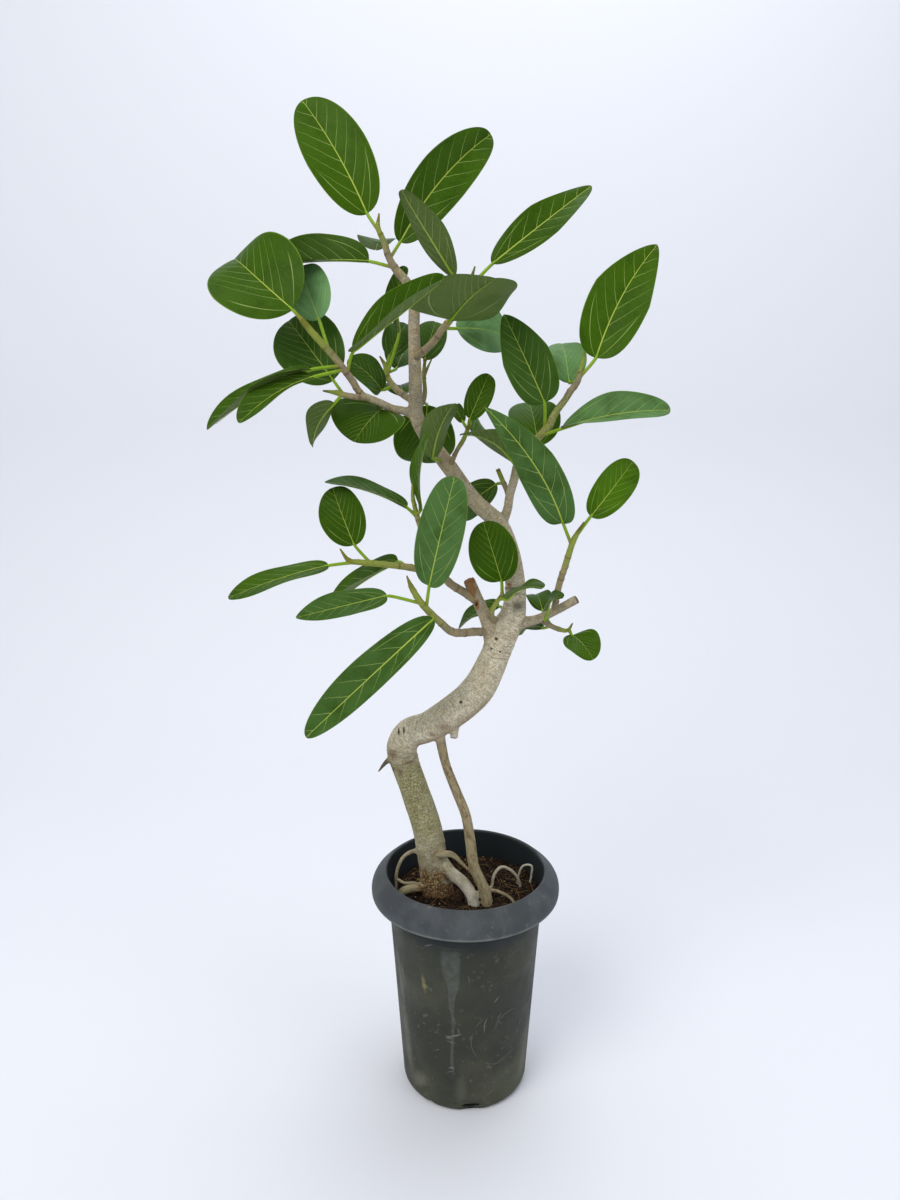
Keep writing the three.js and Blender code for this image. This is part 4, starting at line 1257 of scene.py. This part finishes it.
def cutSlots(pot):
    slots = potForm["slots"]
    bm = bmesh.new()
    for i in range(slots["count"]):
        turn = Matrix.Rotation((i + 0.5) * 2 * math.pi / slots["count"], 4, "Z")
        place = turn @ Matrix.Translation((slots["atRadius"] * mm, 0, 0))
        bmesh.ops.create_cube(bm, size=1, matrix=place @ sizeMatrix(Vector(slots["size"]) * mm))
    for degrees, size in potForm["notches"]:
        turn = Matrix.Rotation(math.radians(degrees), 4, "Z")
        place = turn @ Matrix.Translation((0, -potForm["baseRadius"] * mm, 0))
        bmesh.ops.create_uvsphere(bm, u_segments=32, v_segments=16, radius=1,
                                  matrix=place @ sizeMatrix(Vector(size) * mm))
    cutter = newObject("drainCutter", bm, [])
    cut = pot.modifiers.new("drains", "BOOLEAN")
    cut.operation = "DIFFERENCE"
    cut.solver = "EXACT"
    cut.object = cutter
    applied = bpy.data.meshes.new_from_object(pot.evaluated_get(bpy.context.evaluated_depsgraph_get()))
    pot.modifiers.clear()
    pot.data = applied
    bpy.data.objects.remove(cutter)


# The inside tone is a painted shade for the inner face of the pot's mouth
potLook = palette(
    collar="3f4346", collarPale="565a5c", body="33352d", bodyPale="434438", inside="22272a",
    dust="8b8878", milk="6a706b", scuff="787d76", moss="5a5c45", yellow="8a8458", hole="14171a")

# Heights and radii in m at which one look fades into the next
potZones = {
    "collar": (0.231, 0.2335), "onWall": (0.2325, 0.2305), "inner": (0.0885, 0.0875),
    "innerLow": (0.2, 0.225), "film": (0.09, 0.0), "lowEdge": (0.2325, 0.2345),
    "highEdge": (0.2385, 0.2355),
}

# The dried dribble: a funnel that narrows to a line. Its half widths and heights in m.
dribbleForm = {"aside": 0.0155, "wander": 0.014, "funnel": (0.125, 0.215), "width": (0.002, 0.0135),
               "top": (0.213, 0.206), "foot": (0.045, 0.06)}

# Marks on the wall: turn from the front in degrees, height and half sizes in mm, lean, strength
wallMarks = {
    "scuff": [
        (-28, 212, 7, 1.2, 0.5, 0.8), (-14, 213, 26, 0.6, 0.0, 0.4), (-58, 155, 3, 17, 0.12, 0.35),
        (-9, 103, 11, 1.3, 0.35, 0.7), (-14, 100, 5, 3, 0.0, 0.5), (-12, 94, 8, 0.9, -0.3, 0.6),
        (-6, 110, 1.2, 5, 0.2, 0.5), (-12, 60, 5, 1.6, 0.2, 0.6), (-14, 54, 7, 1, 0.4, 0.4),
        (24, 145, 5, 1.3, 0.8, 0.6), (27, 122, 6, 1.1, 0.9, 0.4), (34, 64, 20, 0.8, 0.35, 0.45),
        (-34, 120, 6, 2.5, 0.6, 0.3), (2, 176, 1.0, 7, 0.2, 0.3), (40, 198, 12, 0.8, 0.2, 0.3),
        (-24, 80, 4, 1.2, 0.5, 0.35), (12, 166, 3, 1.5, 0.3, 0.3), (120, 150, 9, 1, 0.7, 0.5),
        (150, 90, 12, 1, -0.4, 0.5), (-120, 120, 8, 1.2, 0.9, 0.5), (-150, 60, 10, 1, 0.3, 0.4),
        (180, 190, 14, 0.8, 0.1, 0.4),
    ],
    "dust": [(-60, 70, 12, 60, 0.1, 0.3), (-46, 26, 22, 12, 0.6, 0.3), (-64, 150, 8, 50, 0.1, 0.28),
             (62, 40, 12, 30, -0.1, 0.16), (-4, 30, 10, 26, 0.0, 0.14)],
    "yellow": [(-34, 161, 3.2, 15, 0.1, 0.5), (-33, 158, 6, 4, 0.0, 0.5)],
    # Painted shade: dark spots standing for small holes, and the last one for the shadowed inside of
    # the front drain notch
    "hole": [(18, 132, 2.0, 1.8, 0.0, 0.95), (-4, 204, 1.5, 1.4, 0.0, 0.9), (-9, 12, 5, 1.6, 0.3, 0.5),
             (60, 90, 1.4, 1.2, 0.0, 0.8), (5, 4, 13, 6, 0.0, 0.85)],
}

# Curved scratches: turn, height, radius and width, all but the turn in mm, and strength
wallLoops = [(34, 112, 27, 1.0, 0.55), (38, 104, 20, 0.8, 0.4), (30, 96, 36, 0.7, 0.3),
             (-150, 120, 24, 0.8, 0.4)]

# The wall's mean radius in m, which turns an angle into a distance along the wall
wallRadius = 0.08


def wallSmudge():
    tree, given, out = newGroup("wallSmudge", ["Flat", "Middle", "Size"], ["Lean", "Breakup"], ["Mask"])
    apart = vectorCalc("SUBTRACT", given["Flat"], given["Middle"])
    turned = fed("VectorRotate", {"Vector": apart, "Angle": given["Lean"]}, rotation_type="Z_AXIS")
    gap = distance(vectorCalc("DIVIDE", turned.outputs[0], given["Size"]))
    plug(steps(scaled(given["Breakup"], 0.9, gap), 1.5, 0.6), out["Mask"])
    return tree


def wallLoop():
    numbers = ["Radius", "Width", "Breakup"]
    tree, given, out = newGroup("wallLoop", ["Flat", "Middle"], numbers, ["Mask"])
    gap = distance(vectorCalc("SUBTRACT", given["Flat"], given["Middle"]))
    gap = calc("ABSOLUTE", calc("SUBTRACT", gap, given["Radius"]))
    line = steps(calc("DIVIDE", gap, given["Width"]), 1.0, 0.2)
    plug(times(line, steps(given["Breakup"], 0.49, 0.6)), out["Mask"])
    return tree


def onFlatWall(degrees, high):
    return (math.radians(degrees) * wallRadius, high * mm, 0)


def potMaterial():
    material, tree = newMaterial("potPlastic")
    place = objectPlace(tree)
    x, y, z = axesOf(place)
    radius = distance(fed("CombineXYZ", {0: x, 1: y}).outputs[0])
    aroundWall = times(calc("ARCTAN2", x, times(y, -1.0)), wallRadius)
    flat = fed("CombineXYZ", {0: aroundWall, 1: z}).outputs[0]
    broad, middle, small = (cloud(place, scale, 5) for scale in (13.0, 34.0, 150.0))
    collar = mix(steps(middle, 0.42, 0.68, 0.0, 0.6), potLook["collar"], potLook["collarPale"])
    body = mix(steps(broad, 0.4, 0.7, 0.0, 0.7), potLook["body"], potLook["bodyPale"])
    base = mix(steps(z, *potZones["collar"]), body, collar)
    edge = times(steps(z, *potZones["lowEdge"]), steps(z, *potZones["highEdge"]),
                 steps(middle, 0.35, 0.55))
    # A warm film in broad patches, most near the foot, and pale specks
    film = scaled(steps(z, *potZones["film"]), 0.3, broad)
    specks = times(steps(cells(place, 170.0), 0.2, 0.08), steps(cloud(place, 26.0, 2), 0.46, 0.62))
    grains = times(steps(small, 0.58, 0.7), steps(middle, 0.4, 0.6))
    wander = calc("SUBTRACT", cloud(place, 22.0, 3), 0.5)
    aside = scaled(wander, dribbleForm["wander"], calc("ADD", aroundWall, dribbleForm["aside"]))
    spread = steps(z, *dribbleForm["funnel"], *dribbleForm["width"])
    dribble = steps(calc("DIVIDE", calc("ABSOLUTE", aside), spread), 1.1, 0.7)
    dribble = times(dribble, steps(z, *dribbleForm["top"]), steps(z, *dribbleForm["foot"]),
                    steps(small, 0.3, 0.6, 0.5, 1.0))
    base = layered(base, potLook, [
        (edge, "scuff", 0.65), (steps(film, 0.5, 0.95, 0.0, 0.4), "moss", 1),
        (specks, "dust", 0.24), (grains, "dust", 0.22), (dribble, "milk", 0.32),
    ])
    smudge, loop = wallSmudge(), wallLoop()
    onWall = steps(z, *potZones["onWall"])
    for kind, marks in wallMarks.items():
        for degrees, high, wide, tall, lean, strength in marks:
            mask = useGroup(smudge, Flat=flat, Middle=onFlatWall(degrees, high),
                            Size=(wide * mm, tall * mm, 1.0), Lean=-lean, Breakup=small)["Mask"]
            base = layered(base, potLook, [(times(mask, onWall), kind, strength)])
    for degrees, high, size, width, strength in wallLoops:
        mask = useGroup(loop, Flat=flat, Middle=onFlatWall(degrees, high), Radius=size * mm,
                        Width=width * mm, Breakup=middle)["Mask"]
        base = layered(base, potLook, [(times(mask, onWall), "scuff", strength)])
    # Painted shade: the inner face of the pot's mouth, above the potting mix, turns a darker grey
    inner = times(steps(radius, *potZones["inner"]), steps(z, *potZones["innerLow"]))
    base = layered(base, potLook, [(inner, "inside", 1)])
    rough, grain = steps(middle, 0.3, 0.7, 0.5, 0.68), cloud(place, 700.0, 2)
    return finishMaterial(material, base, rough, grain, bump=0.15, reach=0.0004, shine=0.22)


# The potting mix

soilForm = {
    "floor": 3.5, "height": 233, "ripple": 3.0, "gap": 0.45, "rings": 44, "steps": 120,
    "slope": 0.03, "edgeDrop": 4,
    "crumbs": 2400, "crumbSize": (0.7, 2.4), "fibres": 60, "fibreRadius": (0.16, 0.36), "fibreStep": 5,
}


def soilRadius(z):
    low = potForm["baseRadius"] - potForm["wall"] - 0.4
    foot = potForm["footHeight"] + 1
    share = (z - foot) / (potForm["neckHeight"] - foot)
    return low + (potForm["neckRadius"] - potForm["wall"] - low) * share - soilForm["gap"]


# The uneven top: broad lumps, a finer grain, and a drop at the edge
def soilTop(x, y):
    lumps = math.sin(x / 10 + 0.6) * math.cos(y / 8) + 0.5 * math.sin((x - y) / 5)
    spot = Vector((x, y, 0))
    fine = 1.4 * noise.noise(spot * 0.16) + 0.7 * noise.noise(spot * 0.4)
    out = math.hypot(x, y) / soilRadius(potForm["neckHeight"])
    edge = soilForm["edgeDrop"] * fade(out, 0.86, 1.0)
    return soilForm["height"] + soilForm["ripple"] * lumps + x * soilForm["slope"] + fine - edge


# A random place on the top, its distance from the middle at most this share of the radius
def soilSpot(draw, share):
    far = soilRadius(potForm["neckHeight"]) * math.sqrt(draw.random()) * share
    turn = draw.uniform(0, 2 * math.pi)
    return far * math.cos(turn), far * math.sin(turn)


def addCrumb(bm, draw):
    x, y = soilSpot(draw, 0.985)
    size = draw.uniform(*soilForm["crumbSize"]) * draw.uniform(0.6, 1)
    place = Matrix.Translation(Vector((x, y, soilTop(x, y) + 0.2 * size)) * mm)
    axis = (draw.random(), draw.random(), draw.random())
    turn = Quaternion(axis, draw.uniform(0, 6)).to_matrix().to_4x4()
    shape = sizeMatrix((draw.uniform(0.6, 1.4), draw.uniform(0.6, 1), draw.uniform(0.5, 0.9)))
    return bmesh.ops.create_icosphere(bm, subdivisions=1, radius=size * mm,
                                      matrix=place @ turn @ shape)["verts"]


# A fine loose root that lies on the top
def addFibre(bm, draw):
    x, y = soilSpot(draw, 0.9)
    edge, step = soilRadius(potForm["neckHeight"]) - 1.5, soilForm["fibreStep"]
    heading, bend = draw.uniform(0, 2 * math.pi), draw.uniform(-0.35, 0.35)
    stations = []
    for i in range(draw.randint(4, 8)):
        if math.hypot(x, y) > edge:
            break
        lift = 0.5 + draw.uniform(0, 1.8) * math.sin(0.9 * i) ** 2
        stations.append((x, y, soilTop(x, y) + lift, draw.uniform(*soilForm["fibreRadius"])))
        x, y = x + step * math.cos(heading), y + step * math.sin(heading)
        heading += bend + draw.uniform(-0.4, 0.4)
    return addStem(bm, stations, 5, 3.0) if len(stations) > 2 else []


def makeSoil():
    bm = bmesh.new()
    floor, top = soilForm["floor"], soilRadius(potForm["neckHeight"])
    section = [(0, floor), (potForm["baseRadius"] - 10.5, floor)]
    section += [(soilRadius(z), z) for z in (potForm["footHeight"] + 1, 120, potForm["neckHeight"])]
    section += [(top * (1 - i / soilForm["rings"]), soilForm["height"])
                for i in range(1, soilForm["rings"] + 1)]
    lathe(bm, section, soilForm["steps"])
    for vert in bm.verts:
        if vert.co.z > (soilForm["height"] - 1) * mm:
            vert.co.z = soilTop(vert.co.x / mm, vert.co.y / mm) * mm
    # The tone is 0 on the bed, up to 1 on crumbs and 2 on fibres
    tone = bm.verts.layers.float.new("tone")
    draw = random.Random(21)
    for _ in range(soilForm["crumbs"]):
        made = addCrumb(bm, draw)
        grain = draw.uniform(0.05, 1)
        for vert in made:
            vert[tone] = grain
    for _ in range(soilForm["fibres"]):
        for vert in addFibre(bm, draw):
            vert[tone] = 2
    smoothAll(bm)
    standIn(newObject("pottingMix", bm, [soilMaterial()]), "soil")
    print("potting mix made")


soilLook = palette(dark="120d0a", brown="2e2218", red="4a2f1e", tan="85704d", fibre="75603f")


def soilMaterial():
    material, tree = newMaterial("pottingMix")
    place, tone = objectPlace(tree), attribute(tree, "tone")
    base = mix(steps(cloud(place, 130.0, 5), 0.4, 0.62), soilLook["dark"], soilLook["brown"])
    crumb = mix(steps(tone, 0.1, 0.4), soilLook["dark"], soilLook["brown"])
    crumb = layered(crumb, soilLook, [
        (steps(tone, 0.7, 0.85, 0.0, 0.8), "red", 1), (steps(tone, 0.93, 0.95), "tan", 1),
        (steps(tone, 1.5, 1.9), "fibre", 1),
    ])
    base = layered(base, soilLook, [
        (steps(cellTone(place, 420.0), 0.82, 0.95, 0.0, 0.8), "red", 1),
        (steps(tone, 0.01, 0.04), crumb, 1),
    ])
    grain = cloud(place, 900.0, 4)
    return finishMaterial(material, base, 0.9, grain, bump=0.8, reach=0.0006, shine=0.1)


# Making

setCamera()
setLight()
makeFloor()
makePot()
makeSoil()
makeTree()
makeShoots()

print("finished")
